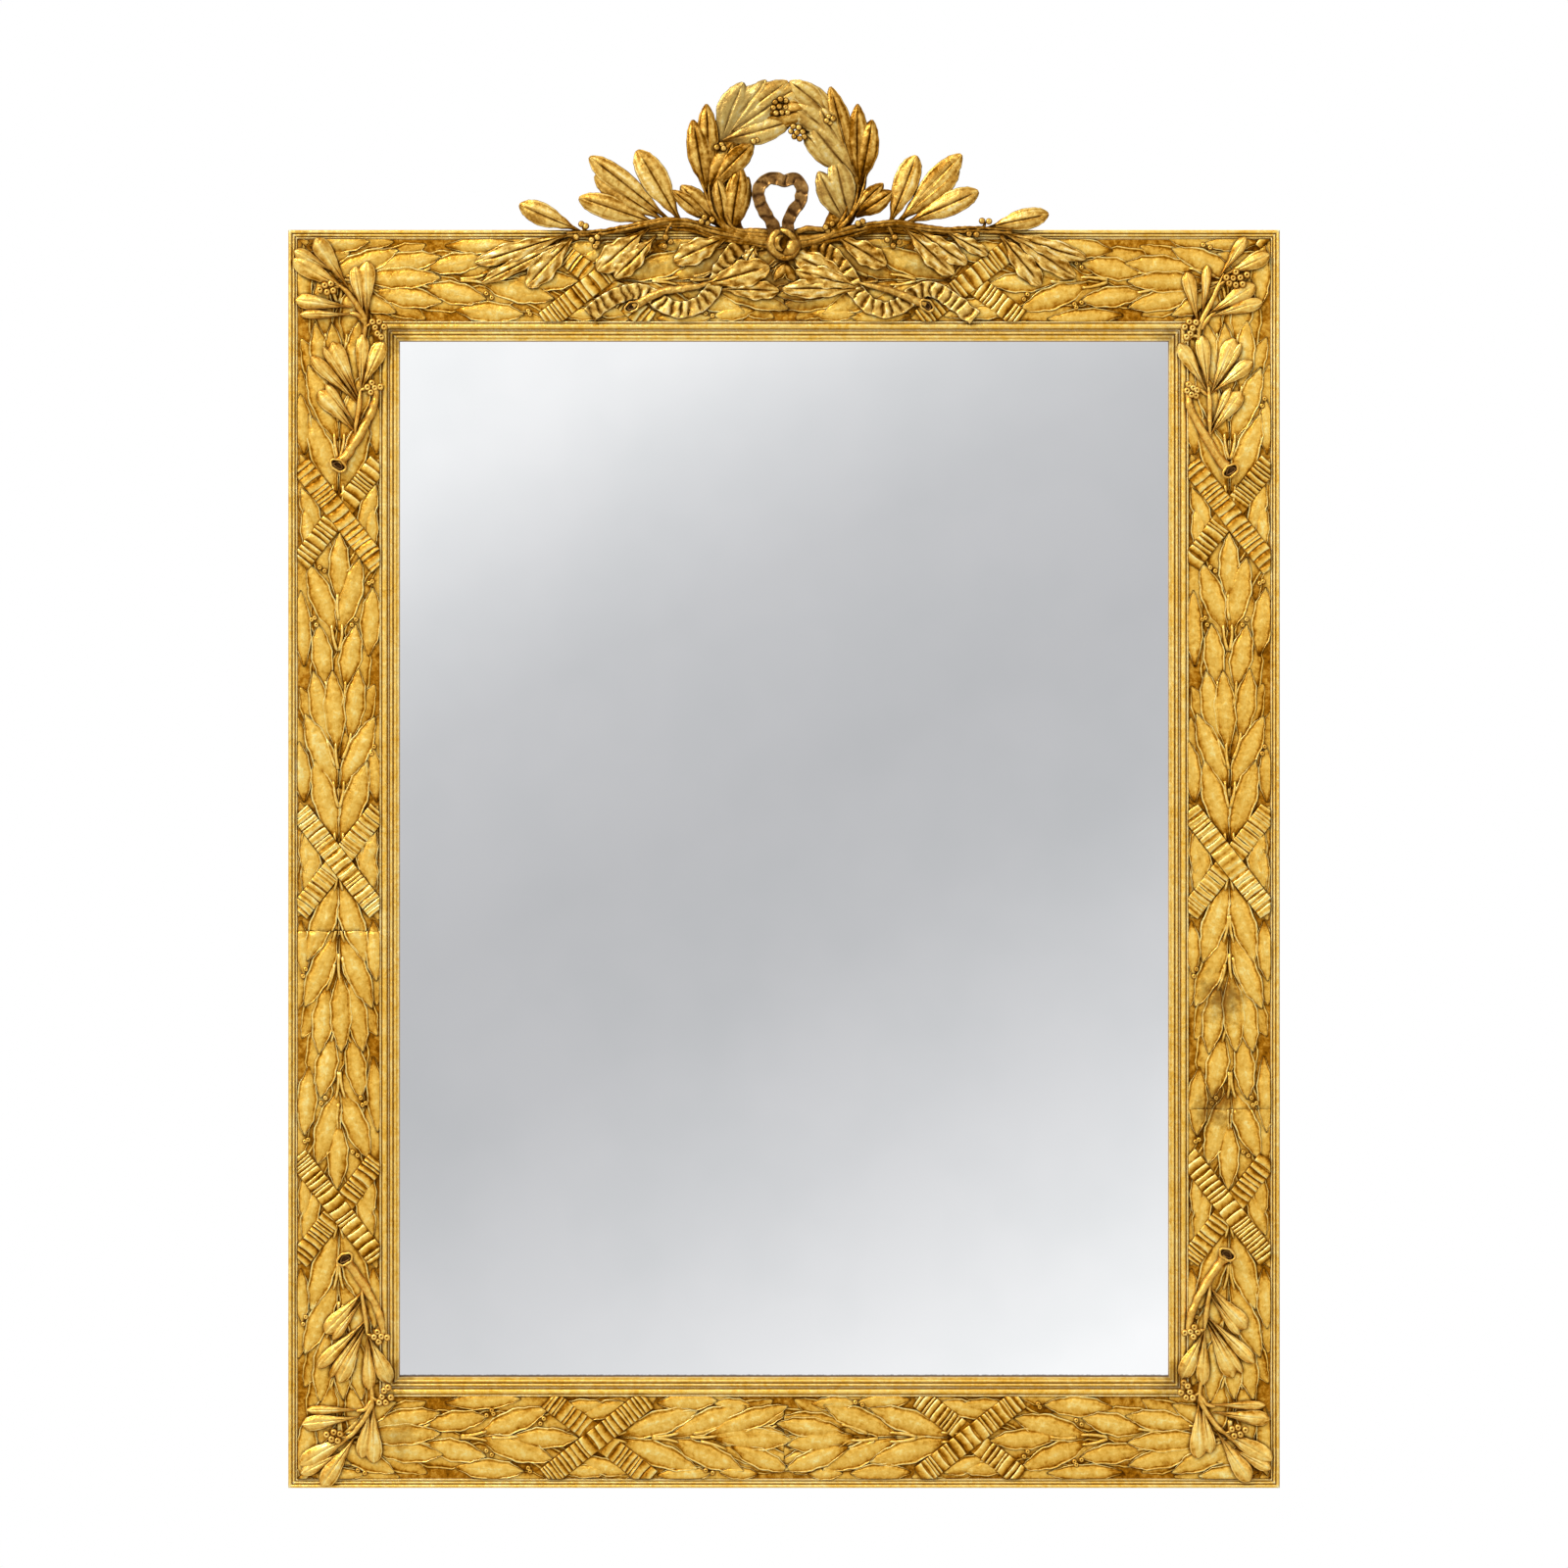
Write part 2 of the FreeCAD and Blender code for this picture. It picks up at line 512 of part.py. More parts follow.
def ribbon_strap(run, along, way, height):
    length = FRIEZE_W / math.sin(math.radians(RIBBON_ANGLE)) + RIBBON_W
    start = -length / 2
    count = int(length / RIBBON_PITCH)
    points = [V(start, 0, 0)]
    for i in range(count):
        at = start + i * RIBBON_PITCH
        points.append(V(at, -height + RIBBON_PLEAT, 0))
        points.append(V(at + RIBBON_PITCH / 2, -height, 0))
    points.append(V(start + count * RIBBON_PITCH, -height + RIBBON_PLEAT, 0))
    points.append(V(start + count * RIBBON_PITCH, 0, 0))
    solid = Part.Face(Part.makePolygon(points + [points[0]])).extrude(V(0, 0, RIBBON_W))
    solid.translate(V(0, 0, -RIBBON_W / 2))
    grow = math.degrees(math.atan2(run[3], run[2]))
    solid.rotate(V(0, 0, 0), V(0, 1, 0), -(grow - 90 + way * RIBBON_ANGLE))
    place = run_spot(run, 0, along)
    solid.translate(V(place[0], PLATE_Y + PRESSING_T / 4, place[1]))
    return solid


def garland(run, zone):
    embed = PRESSING_T / 4
    bounds = zone.BoundBox
    made = []
    for bay in (0, 1):
        for row, (u0, s0, u1, s1, width) in enumerate(GARLAND_SHARES):
            base = run_spot(run, u0, s0 + bay)
            tip = run_spot(run, u1, s1 + bay)
            middle = ((base[0] + tip[0]) / 2, (base[1] + tip[1]) / 2)
            reach = FRIEZE_W / 3
            if abs(middle[0] - bounds.Center.x) > bounds.XLength / 2 + reach:
                continue
            if abs(middle[1] - bounds.Center.z) > bounds.ZLength / 2 + reach:
                continue
            made.append(leaf(base, tip, width * FRIEZE_W, PLATE_Y + embed, LEAF_EDGE_H + embed,
                             RELIEF_H + embed - row * LEAF_STEP_H, GARLAND_OUTLINE_SHARES,
                             GARLAND_FLAT_SHARE))
        for u, s in GARLAND_BERRY_SHARES:
            made.append(berry(run_spot(run, u, s + bay), BERRY_R, PLATE_Y + embed, RELIEF_H))
        over = RELIEF_H + embed - RIBBON_SINK
        made.append(ribbon_strap(run, bay, -1, over))
        made.append(ribbon_strap(run, bay, 1, over - RIBBON_SINK - RIBBON_PLEAT))
    return [piece for piece in made if piece.BoundBox.intersect(bounds)]


def strip(zone_points, runs):
    plate = prism(zone_points, FACE_Y, PLATE_Y)
    zone = prism(zone_points, FACE_Y, FRONT_Y)
    pieces = []
    for run in runs:
        pieces += garland(run, zone)
    relief = joined(pieces).common(zone)
    return one_solid(plate.fuse(relief))


def rail_strip(side, end):
    outer_z = HALF_H - OUTER_MOULD_W
    outer_x = HALF_W - OUTER_MOULD_W
    inner_z = outer_z - FRIEZE_W
    inner_x = outer_x - FRIEZE_W
    points = [(0, end * outer_z), (side * outer_x, end * outer_z),
              (side * inner_x, end * inner_z), (0, end * inner_z)]
    start = side * (RAIL_CROSS_X + BAY)
    return strip(points, [(start, end * FRIEZE_MID_Z, -side, 0)])


def stile_strip(side, end, seam):
    outer_z = HALF_H - OUTER_MOULD_W
    outer_x = HALF_W - OUTER_MOULD_W
    inner_z = outer_z - FRIEZE_W
    inner_x = outer_x - FRIEZE_W
    points = [(side * outer_x, seam), (side * outer_x, end * outer_z),
              (side * inner_x, end * inner_z), (side * inner_x, seam)]
    runs = [(side * FRIEZE_MID_X, -GARLAND_DROP, 0, end)]
    if (seam + GARLAND_DROP) * end < 0:
        runs.append((side * FRIEZE_MID_X, -GARLAND_DROP, 0, -end))
    return strip(points, runs)


# Corner sprays, laid on the finished frieze.
def spray_spot(side, end, place):
    return (side * (SIGHT_X + place[0] * SECTION_W), end * (SIGHT_Z + place[1] * SECTION_W))


def spray(side, end):
    made = []
    for a0, b0, a1, b1, width in SPRAY_SHARES:
        made.append(leaf(spray_spot(side, end, (a0, b0)), spray_spot(side, end, (a1, b1)),
                         width * SECTION_W, FRONT_Y, SPRAY_EDGE_H, SPRAY_CROWN_H,
                         SPRAY_OUTLINE_SHARES, SPRAY_FLAT_SHARE))
    for points, width in zip(SPRAY_STEM_SHARES, SPRAY_STEM_W_SHARES):
        line = [spray_spot(side, end, p) for p in points]
        made.append(band(line, width * SECTION_W, FRONT_Y, FRONT_Y - STEM_H))
    line = [spray_spot(side, end, p) for p in SPRAY_BRANCH_SHARES]
    made.append(band(line, SPRAY_BRANCH_W_SHARE * SECTION_W, FRONT_Y, FRONT_Y - BRANCH_H))
    a, b, long_share, short_share, degrees = SPRAY_CUT_SHARES
    made.append(cut_end(spray_spot(side, end, (a, b)), long_share * SECTION_W, short_share * SECTION_W,
                        -side * end * degrees, FRONT_Y, FRONT_Y - BRANCH_H - RELIEF_H / 2))
    for place in SPRAY_BERRY_SHARES:
        made.append(berry(spray_spot(side, end, place), SPRAY_BERRY_R, FRONT_Y, SPRAY_CROWN_H))
    return joined(made)


# Crest.
def crest_spot(place):
    return (place[0] * CREST_UNIT, HALF_H + place[1] * CREST_UNIT)


def crest_leaves(table, edge, crown, back_extra=0):
    made = []
    for x0, z0, x1, z1, width in table:
        made.append(leaf(crest_spot((x0, z0)), crest_spot((x1, z1)), width * CREST_UNIT, FRONT_Y,
                         edge, crown, SPRAY_OUTLINE_SHARES, SPRAY_FLAT_SHARE, back_extra))
    return made


def crest_branch(leaves, stem, twigs, berries):
    made = crest_leaves(leaves, CREST_EDGE_H, CREST_CROWN_H)
    made.append(band([crest_spot(p) for p in stem], STEM_W_SHARE * CREST_UNIT, FRONT_Y,
                     FRONT_Y - CREST_CROWN_H))
    for twig in twigs:
        made.append(band([crest_spot(p) for p in twig], TWIG_W_SHARE * CREST_UNIT, FRONT_Y,
                         FRONT_Y - STEM_H))
    for place in berries:
        made.append(berry(crest_spot(place), CREST_BERRY_R, FRONT_Y, CREST_CROWN_H))
    return joined(made)


def crest_sprig(leaves, stem, end_shares):
    made = crest_leaves(leaves, CREST_EDGE_H, CREST_CROWN_H)
    made.append(band([crest_spot(p) for p in stem], STEM_W_SHARE * CREST_UNIT, FRONT_Y,
                     FRONT_Y - CREST_CROWN_H))
    x, z, long_share, short_share, degrees = end_shares
    made.append(cut_end(crest_spot((x, z)), long_share * CREST_UNIT, short_share * CREST_UNIT,
                        degrees, FRONT_Y, FRONT_Y - CREST_CROWN_H - OVERRUN))
    return joined(made)


def crest_wreath(leaves, stem, berries):
    extra = WREATH_BACK_Y - FRONT_Y
    made = crest_leaves(leaves, WREATH_EDGE_H, WREATH_CROWN_H, extra)
    made.append(band([crest_spot(p) for p in stem], STEM_W_SHARE * CREST_UNIT, WREATH_BACK_Y,
                     FRONT_Y - STEM_H))
    for place in berries:
        made.append(berry(crest_spot(place), CREST_BERRY_R, FRONT_Y, WREATH_CROWN_H, extra))
    under = box(-HALF_W, HALF_W, FRONT_Y, 0, 0, HALF_H)
    return joined(made).cut(under)


def crest_knot():
    place = crest_spot(KNOT_SHARES)
    return berry(place, KNOT_R, FRONT_Y, KNOT_H)


# Irons behind the wreath: an angle on the top edge of the rail, with a countersunk face.
def crest_iron(side):
    x0 = side * IRON_X - IRON_W / 2
    x1 = side * IRON_X + IRON_W / 2
    up = box(x0, x1, WREATH_BACK_Y, WREATH_BACK_Y + IRON_T, HALF_H, HALF_H + IRON_UP)
    foot = box(x0, x1, WREATH_BACK_Y, 0, HALF_H, HALF_H + IRON_T)
    return up.fuse(foot).removeSplitter()


# Plate, blocks and boards.
def glass_plate():
    return box(-SIGHT_X - GLASS_REBATE_W + GLASS_SIDE_GAP, SIGHT_X + GLASS_REBATE_W - GLASS_SIDE_GAP,
               GLASS_FRONT_Y, GLASS_BACK_Y,
               -SIGHT_Z - GLASS_REBATE_W, SIGHT_Z + GLASS_REBATE_W - GLASS_SIDE_GAP)


def blocks():
    made = []
    wall_x = SIGHT_X + GLASS_REBATE_W
    wall_z = SIGHT_Z + GLASS_REBATE_W
    for share in BLOCK_SHARES:
        for side in (-1, 1):
            x0, x1 = sorted((side * wall_x, side * (wall_x - BLOCK_W)))
            z = share * SIGHT_Z
            made.append(box(x0, x1, GLASS_BACK_Y, -BOARD_T, z - BLOCK_L / 2, z + BLOCK_L / 2))
            z0, z1 = sorted((side * wall_z, side * (wall_z - BLOCK_W)))
            x = share * SIGHT_X
            made.append(box(x - BLOCK_L / 2, x + BLOCK_L / 2, GLASS_BACK_Y, -BOARD_T, z0, z1))
    return made


def back_board(index):
    full = 2 * (SIGHT_X + BOARD_REBATE_W)
    width = full / 3
    x0 = -full / 2 + index * width
    x1 = x0 + width
    z = SIGHT_Z + BOARD_REBATE_W
    return box(x0 + BOARD_GAP / 2, x1 - BOARD_GAP / 2, -BOARD_T, 0, -z + BOARD_GAP, z - BOARD_GAP)


# Hanging strap with a rolled eye, let into a pocket so that nothing stands off the wall.
def pocket(side):
    x = side * HANGER_X
    return box(x - POCKET_W / 2, x + POCKET_W / 2, -POCKET_D, OVERRUN,
               HANGER_Z - STRAP_L, HANGER_Z + POCKET_UP)


def eye_y():
    return -POCKET_D + STRAP_T + RING_GAP + RING_WIRE_R


def hanger_strap(side):
    x = side * HANGER_X
    plate = box(x - STRAP_W / 2, x + STRAP_W / 2, -POCKET_D, -POCKET_D + STRAP_T,
                HANGER_Z - STRAP_L, HANGER_Z)
    start = V(x - STRAP_W / 2, eye_y(), HANGER_Z)
    outer = Part.makeCylinder(RING_WIRE_R + EYE_FIT + EYE_WALL, STRAP_W, start, V(1, 0, 0))
    start = V(x - STRAP_W / 2 - OVERRUN, eye_y(), HANGER_Z)
    inner = Part.makeCylinder(RING_WIRE_R + EYE_FIT, STRAP_W + 2 * OVERRUN, start, V(1, 0, 0))
    return plate.fuse(outer).cut(inner)


def hanger_ring(side):
    x = side * HANGER_X
    y = eye_y()
    hoop = Part.makeTorus(RING_R, RING_WIRE_R, V(x, y, HANGER_Z), V(0, 1, 0))
    span = 2 * RING_R
    lower = box(x - span, x + span, y - span, y + span, HANGER_Z - span, HANGER_Z)
    pieces = [hoop.common(lower)]
    pieces.append(Part.makeCylinder(RING_WIRE_R, 2 * RING_R, V(x - RING_R, y, HANGER_Z), V(1, 0, 0)))
    for way in (-1, 1):
        pieces.append(Part.makeSphere(RING_WIRE_R, V(x + way * RING_R, y, HANGER_Z)))
    return joined(pieces)


# Assembly.
def build_carcass():
    holes = [h for h in pegs(PEG_R + PEG_FIT)]
    screws = [screw_blank(p, (0, -1, 0), BOARD_SCREW_L, SCREW_FIT) for p in board_screw_places()]
    foot = [screw_blank(p, (0, 0, -1), IRON_SCREW_L, SCREW_FIT) for p in iron_foot_places()]
    cutters = Part.makeCompound(holes + screws + foot)
    for name, body in (("rail_top", rail(1)), ("rail_bottom", rail(-1))):
        save(name, body.cut(cutters))
    for name, side in (("stile_left", -1), ("stile_right", 1)):
        hang = [screw_blank(p, (0, -1, 0), HANGER_SCREW_L, SCREW_FIT) for p in hanger_screw_places(side)]
        body = stile(side).cut(cutters).cut(pocket(side))
        save(name, body.cut(Part.makeCompound(hang)))
    save("corner_pegs", Part.makeCompound(pegs(PEG_R)))


def build_mouldings():
    sides = (("top", 0, HALF_W, HALF_H), ("right", 90, HALF_H, HALF_W),
             ("bottom", 180, HALF_W, HALF_H), ("left", -90, HALF_H, HALF_W))
    inset = OUTER_MOULD_W + FRIEZE_W
    for name, degrees, half_len, outer in sides:
        save("outer_moulding_" + name, moulding(
            half_len, outer, OUTER_MOULD_W, OUTER_FLOOR_SHARE, OUTER_REED_SHARES, degrees, False))
        save("sight_moulding_" + name, moulding(
            half_len - inset, outer - inset, SIGHT_MOULD_W, SIGHT_FLOOR_SHARE, SIGHT_REED_SHARES,
            degrees, False))


def build_friezes():
    top_left = rail_strip(-1, 1)
    top_right = rail_strip(1, 1)
    save("frieze_top_left", top_left)
    save("frieze_top_right", top_right)
    save("frieze_bottom_left", turned(top_right, 180))
    save("frieze_bottom_right", turned(top_left, 180))
    save("frieze_left_upper", stile_strip(-1, 1, LEFT_SEAM_Z))
    save("frieze_left_lower", stile_strip(-1, -1, LEFT_SEAM_Z))
    save("frieze_right_upper", stile_strip(1, 1, RIGHT_SEAM_Z))
    save("frieze_right_lower", stile_strip(1, -1, RIGHT_SEAM_Z))


def build_sprays():
    top_left = one_solid(spray(-1, 1))
    top_right = top_left.mirror(V(0, 0, 0), V(1, 0, 0))
    save("spray_top_left", top_left)
    save("spray_top_right", top_right)
    save("spray_bottom_left", top_left.mirror(V(0, 0, 0), V(0, 0, 1)))
    save("spray_bottom_right", top_right.mirror(V(0, 0, 0), V(0, 0, 1)))


def build_crest():
    tail_left = band([crest_spot(p) for p in TAIL_LEFT_SHARES], TAIL_W, FRONT_Y, FRONT_Y - TAIL_H)
    tail_right = band([crest_spot(p) for p in TAIL_RIGHT_SHARES], TAIL_W, FRONT_Y, FRONT_Y - TAIL_H)
    tail_right = one_solid(tail_right.cut(tail_left))
    loop = band([crest_spot(p) for p in LOOP_SHARES], LOOP_W, FRONT_Y - TAIL_H, FRONT_Y - TAIL_H - LOOP_H)
    branch_left = crest_branch(BRANCH_LEFT_SHARES, BRANCH_LEFT_STEM_SHARES, BRANCH_LEFT_TWIG_SHARES,
                               BRANCH_LEFT_BERRY_SHARES)
    branch_right = crest_branch(BRANCH_RIGHT_SHARES, BRANCH_RIGHT_STEM_SHARES, BRANCH_RIGHT_TWIG_SHARES,
                                BRANCH_RIGHT_BERRY_SHARES)
    sprig_left = crest_sprig(SPRIG_LEFT_SHARES, SPRIG_LEFT_STEM_SHARES, SPRIG_LEFT_CUT_SHARES)
    sprig_right = crest_sprig(SPRIG_RIGHT_SHARES, SPRIG_RIGHT_STEM_SHARES, SPRIG_RIGHT_CUT_SHARES)
    wreath_left = crest_wreath(WREATH_LEFT_SHARES, WREATH_LEFT_STEM_SHARES, WREATH_LEFT_BERRY_SHARES)
    wreath_right = crest_wreath(WREATH_RIGHT_SHARES, WREATH_RIGHT_STEM_SHARES, WREATH_RIGHT_BERRY_SHARES)
    tails = Part.makeCompound([tail_left, tail_right])
    branch_left = branch_left.cut(tails)
    branch_right = branch_right.cut(tails)
    sprig_left = sprig_left.cut(tails).cut(branch_left)
    sprig_right = sprig_right.cut(tails).cut(branch_right).cut(sprig_left)
    wreath_left = wreath_left.cut(tails).cut(branch_left)
    wreath_right = wreath_right.cut(tails).cut(branch_right).cut(wreath_left)
    loop = loop.cut(Part.makeCompound([branch_left, branch_right]))
    knot = crest_knot()
    for other in (tails, branch_left, branch_right, loop, wreath_left, wreath_right):
        knot = knot.cut(other)
    iron_screws = [screw(p, (0, -1, 0), IRON_SCREW_L) for p in iron_screw_places()]
    iron_screws += [screw(p, (0, 0, -1), IRON_SCREW_L) for p in iron_foot_places()]
    holes = [screw_blank(p, (0, -1, 0), IRON_SCREW_L, SCREW_FIT) for p in iron_screw_places()]
    holes += [screw_blank(p, (0, 0, -1), IRON_SCREW_L, SCREW_FIT) for p in iron_foot_places()]
    holes = Part.makeCompound(holes)
    save("crest_wreath_left", one_solid(wreath_left.cut(holes)))
    save("crest_wreath_right", one_solid(wreath_right.cut(holes)))
    save("crest_ribbon_loop", loop)
    save("crest_knot", knot)
    save("crest_branch_left", branch_left)
    save("crest_branch_right", branch_right)
    save("crest_sprig_left", sprig_left)
    save("crest_sprig_right", sprig_right)
    save("ribbon_tail_left", tail_left)
    save("ribbon_tail_right", tail_right)
    save("crest_bracket_left", crest_iron(-1).cut(holes))
    save("crest_bracket_right", crest_iron(1).cut(holes))
    save("crest_bracket_screws", Part.makeCompound(iron_screws))


def build_back():
    save("mirror_glass", glass_plate())
    save("glazing_blocks", Part.makeCompound(blocks()))
    holes = Part.makeCompound([screw_blank(p, (0, -1, 0), BOARD_SCREW_L, SCREW_FIT)
                               for p in board_screw_places()])
    for index, name in enumerate(("left", "centre", "right")):
        save("back_board_" + name, back_board(index).cut(holes))
    save("back_board_screws", Part.makeCompound([screw(p, (0, -1, 0), BOARD_SCREW_L)
                                                 for p in board_screw_places()]))


def build_hangers():
    for name, side in (("left", -1), ("right", 1)):
        places = hanger_screw_places(side)
        holes = [screw_blank(p, (0, -1, 0), HANGER_SCREW_L, SCREW_FIT) for p in places]
        save("hanger_strap_" + name, hanger_strap(side).cut(Part.makeCompound(holes)))
        save("hanger_ring_" + name, hanger_ring(side))
        save("hanger_screws_" + name,
             Part.makeCompound([screw(p, (0, -1, 0), HANGER_SCREW_L) for p in places]))


build_carcass()
build_mouldings()
build_friezes()
build_sprays()
build_crest()
build_back()
build_hangers()
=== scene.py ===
# %% [markdown]
# # A gilded wall mirror
# The real object is a tall mirror in a wooden frame. Pressed strips with a leaf garland and
# crossed ribbons run round it, a laurel spray sits on each corner, and a wreath with a ribbon
# knot stands on top. The solid model comes first: every piece made below is laid onto it, in
# the same metres, so nothing has to be fitted by eye.

# %% Load the solid model
import math
import random
import bmesh
import bpy
from mathutils import Matrix, Vector, noise


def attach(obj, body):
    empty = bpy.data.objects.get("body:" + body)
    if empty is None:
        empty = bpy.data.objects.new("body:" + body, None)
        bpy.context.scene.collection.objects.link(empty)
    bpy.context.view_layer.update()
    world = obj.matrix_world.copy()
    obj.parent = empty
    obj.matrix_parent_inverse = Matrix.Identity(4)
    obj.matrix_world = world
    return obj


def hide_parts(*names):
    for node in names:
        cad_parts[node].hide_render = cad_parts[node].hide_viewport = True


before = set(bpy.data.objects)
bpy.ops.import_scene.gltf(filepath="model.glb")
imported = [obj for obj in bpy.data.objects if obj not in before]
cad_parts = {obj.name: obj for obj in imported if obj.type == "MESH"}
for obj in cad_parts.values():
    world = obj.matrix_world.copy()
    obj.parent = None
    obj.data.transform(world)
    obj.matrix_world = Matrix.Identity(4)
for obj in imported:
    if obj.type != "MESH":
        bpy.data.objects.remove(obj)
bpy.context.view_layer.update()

# %% [markdown]
# ## Shared sizes
# The solids were drawn in millimetres from a few named sizes. The same names are used here,
# so a leaf that was cut at some share of a bay there is laid at the same share here. Places
# within a bay, a corner or the crest are listed in thousandths of it.

# %% Sizes in millimetres
MM = 0.001
HALF_W, HALF_H = 506.0, 642.0
OUTER_MOULD_W, FRIEZE_W, SIGHT_MOULD_W = 9.5, 84.0, 19.5
SECTION_W = OUTER_MOULD_W + FRIEZE_W + SIGHT_MOULD_W
SIGHT_X, SIGHT_Z = HALF_W - SECTION_W, HALF_H - SECTION_W
FACE_Y, PLATE_Y, FRONT_Y = -26.0, -28.0, -31.0
FRIEZE_MID_X = SIGHT_X + SIGHT_MOULD_W + FRIEZE_W / 2
FRIEZE_MID_Z = SIGHT_Z + SIGHT_MOULD_W + FRIEZE_W / 2
BAY, GARLAND_DROP, RAIL_CROSS_X = 355.0, 2.5, 190.0
RIBBON_W, RIBBON_PITCH, RIBBON_ANGLE = 22.0, 5.6, 52.0
LEFT_SEAM_Z, RIGHT_SEAM_Z = -73.5, -255.5
CREST_UNIT = 270.0
STRIP_BERRY_R, SPRAY_BERRY_R, BRANCH_BERRY_R, WREATH_BERRY_R = 2.7, 3.8, 3.5, 3.3


def shares(table):
    """Turns a table of whole thousandths into shares of one."""
    if isinstance(table, dict):
        return {label: shares(rows) for label, rows in table.items()}
    return tuple(shares(row) for row in table) if isinstance(table, tuple) else table / 1000


print("frame", 2 * HALF_W, "by", 2 * HALF_H, "mm, glass", 2 * SIGHT_X, "by", 2 * SIGHT_Z, "mm")

# %% [markdown]
# ## Shapes from a grid
# A leaf, a ribbon and a pleat are all the same thing to a carver: a strip with a modelled top
# and a flat back. So one helper builds them all. It takes the points of the top row by row,
# drops a wall from the rim to the back, and closes the back, so every shape is watertight.
# Each point keeps its wear and painted light: -1 where a groove or a wall's foot is painted dark
# as dirt and shade, 1 on a rubbed ridge or a painted highlight.

# %% A closed shell from a grid of points
def carry(mesh, name, kind, values):
    """Gives the mesh's points one value each under a name."""
    data = mesh.attributes.new(name, kind, "POINT").data
    data.foreach_set("vector" if kind == "FLOAT_VECTOR" else "value", values)


def closed_mesh(name, verts, faces):
    """A mesh whose faces all look outwards."""
    mesh = bpy.data.meshes.new(name)
    mesh.from_pydata(verts, [], faces)
    work = bmesh.new()
    work.from_mesh(mesh)
    bmesh.ops.recalc_face_normals(work, faces=work.faces)
    work.to_mesh(mesh)
    work.free()
    return mesh


def shell(name, grid, back, wear_and_shading):
    """The modelled top, a wall round its rim, and the back that the wall ends at."""
    rows, columns = len(grid), len(grid[0])
    end, last = rows - 1, columns - 1
    verts = [point for row in grid for point in row]
    faces = []
    for i in range(end):
        for k in range(i * columns, i * columns + last):
            faces.append((k, k + columns, k + columns + 1, k + 1))
    tops = len(faces)
    rim = [(0, j) for j in range(columns)] + [(i, last) for i in range(1, rows)]
    rim += [(end, j) for j in range(last - 1, -1, -1)] + [(i, 0) for i in range(end - 1, 0, -1)]
    below = {}
    for i, j in rim:
        below[i, j] = len(verts)
        verts.append(back(grid[i][j]))
    for a, b in zip(rim, rim[1:] + rim[:1]):
        faces.append((a[0] * columns + a[1], b[0] * columns + b[1], below[b], below[a]))
    faces.append([below[0, j] for j in range(columns)] + [below[1, last], below[1, 0]])
    for i in range(1, end - 1):
        faces.append((below[i, 0], below[i, last], below[i + 1, last], below[i + 1, 0]))
    faces.append([below[end, j] for j in range(last, -1, -1)]
                 + [below[end - 1, 0], below[end - 1, last]])
    mesh = closed_mesh(name, verts, faces)
    mesh.polygons.foreach_set("use_smooth", [k < tops for k in range(len(faces))])
    marks = [mark for row in wear_and_shading for mark in row]
    # the back's points get -1, so each wall darkens towards its foot: painted shade
    carry(mesh, "wear_and_shading", "FLOAT", marks + [-1.0] * (len(verts) - len(marks)))
    return mesh


def follow(outline, share):
    """Reads a smooth curve through a short list of (share, reach) pairs."""
    for (a, low), (b, high) in zip(outline, outline[1:]):
        if share <= b:
            t = (share - a) / (b - a)
            t = t * t * (3 - 2 * t) if a > 0 and b < 1 else t
            return low + (high - low) * t
    return outline[-1][1]


def bump(value, middle, width):
    """A smooth hill, 1 high, round one value."""
    return math.exp(-((value - middle) / width) ** 2)


# %% [markdown]
# ## The leaves
# Five kinds of leaf grow on this frame. The pressed ones on the strips are low cushions with
# a fine raised line along the edge, laid like roof tiles. The spoon leaves of the sprays are
# broad towards the tip. The carved ones above the top rail have full lobes on both sides of a
# groove, and the wavy ones below it turn their edges up and down. The deep ones are carved
# leaves with a thick back, because the wreath stands free. Each kind is one height rule over
# a unit leaf, and three varieties of each keep the repeats from being noticed.

# %% Leaf rules: u runs from base to tip, v from -1 to 1 across; heights are in mm
def midline(u, v, seed, width):
    """The groove down the middle: it fades in above the base and out below the tip."""
    window = min(1, max(0, (u - 0.10) / 0.16)) * min(1, max(0, (0.93 - u) / 0.10))
    return bump(v, 0.05 * math.sin(3 * u + seed), width) * window


def ragged(seed, *place):
    return noise.noise(Vector((*place, seed)))


def pressed_height(u, v, seed):
    tile = 0.6 + 1.3 * u ** 0.9
    dome = 1.75 * (1 - abs(v) ** 2.3) * (0.2 + 0.8 * math.sin(math.pi * min(1, 0.1 + u * 0.85)))
    line = 0.95 * bump(abs(v), 0.93, 0.065) * (1 - 0.4 * math.sin(9 * u + seed))
    line -= 0.38 * bump(abs(v), 0.79, 0.08)
    ripple = 0.22 * ragged(seed, 6 * u, 3 * v) + 0.10 * math.sin(5 * u + 2 * v + seed)
    return min(4.0, tile + dome * (1 - 2.4 * max(0, u - 0.75)) + line + ripple)


# Wear and painted light: the crown gets a painted highlight; the very edge, the hollow inside the
# rim and the base are painted shade; the rim and the tip are rubbed bright.
def pressed_wear_and_shading(u, v, seed):
    rim = 1.35 * bump(abs(v), 0.935, 0.055) - 0.9 * bump(abs(v), 1.0, 0.015)
    rim -= 0.75 * bump(abs(v), 0.78, 0.08)
    crown = 0.6 * bump(v, 0, 0.52) * math.sin(math.pi * u) - 0.12
    streak = 0.35 * ragged(seed + 3, 3 * u, 9 * v)
    return rim + crown + streak - 0.8 * bump(u, 0, 0.14) + 0.5 * bump(u, 0.97, 0.05)


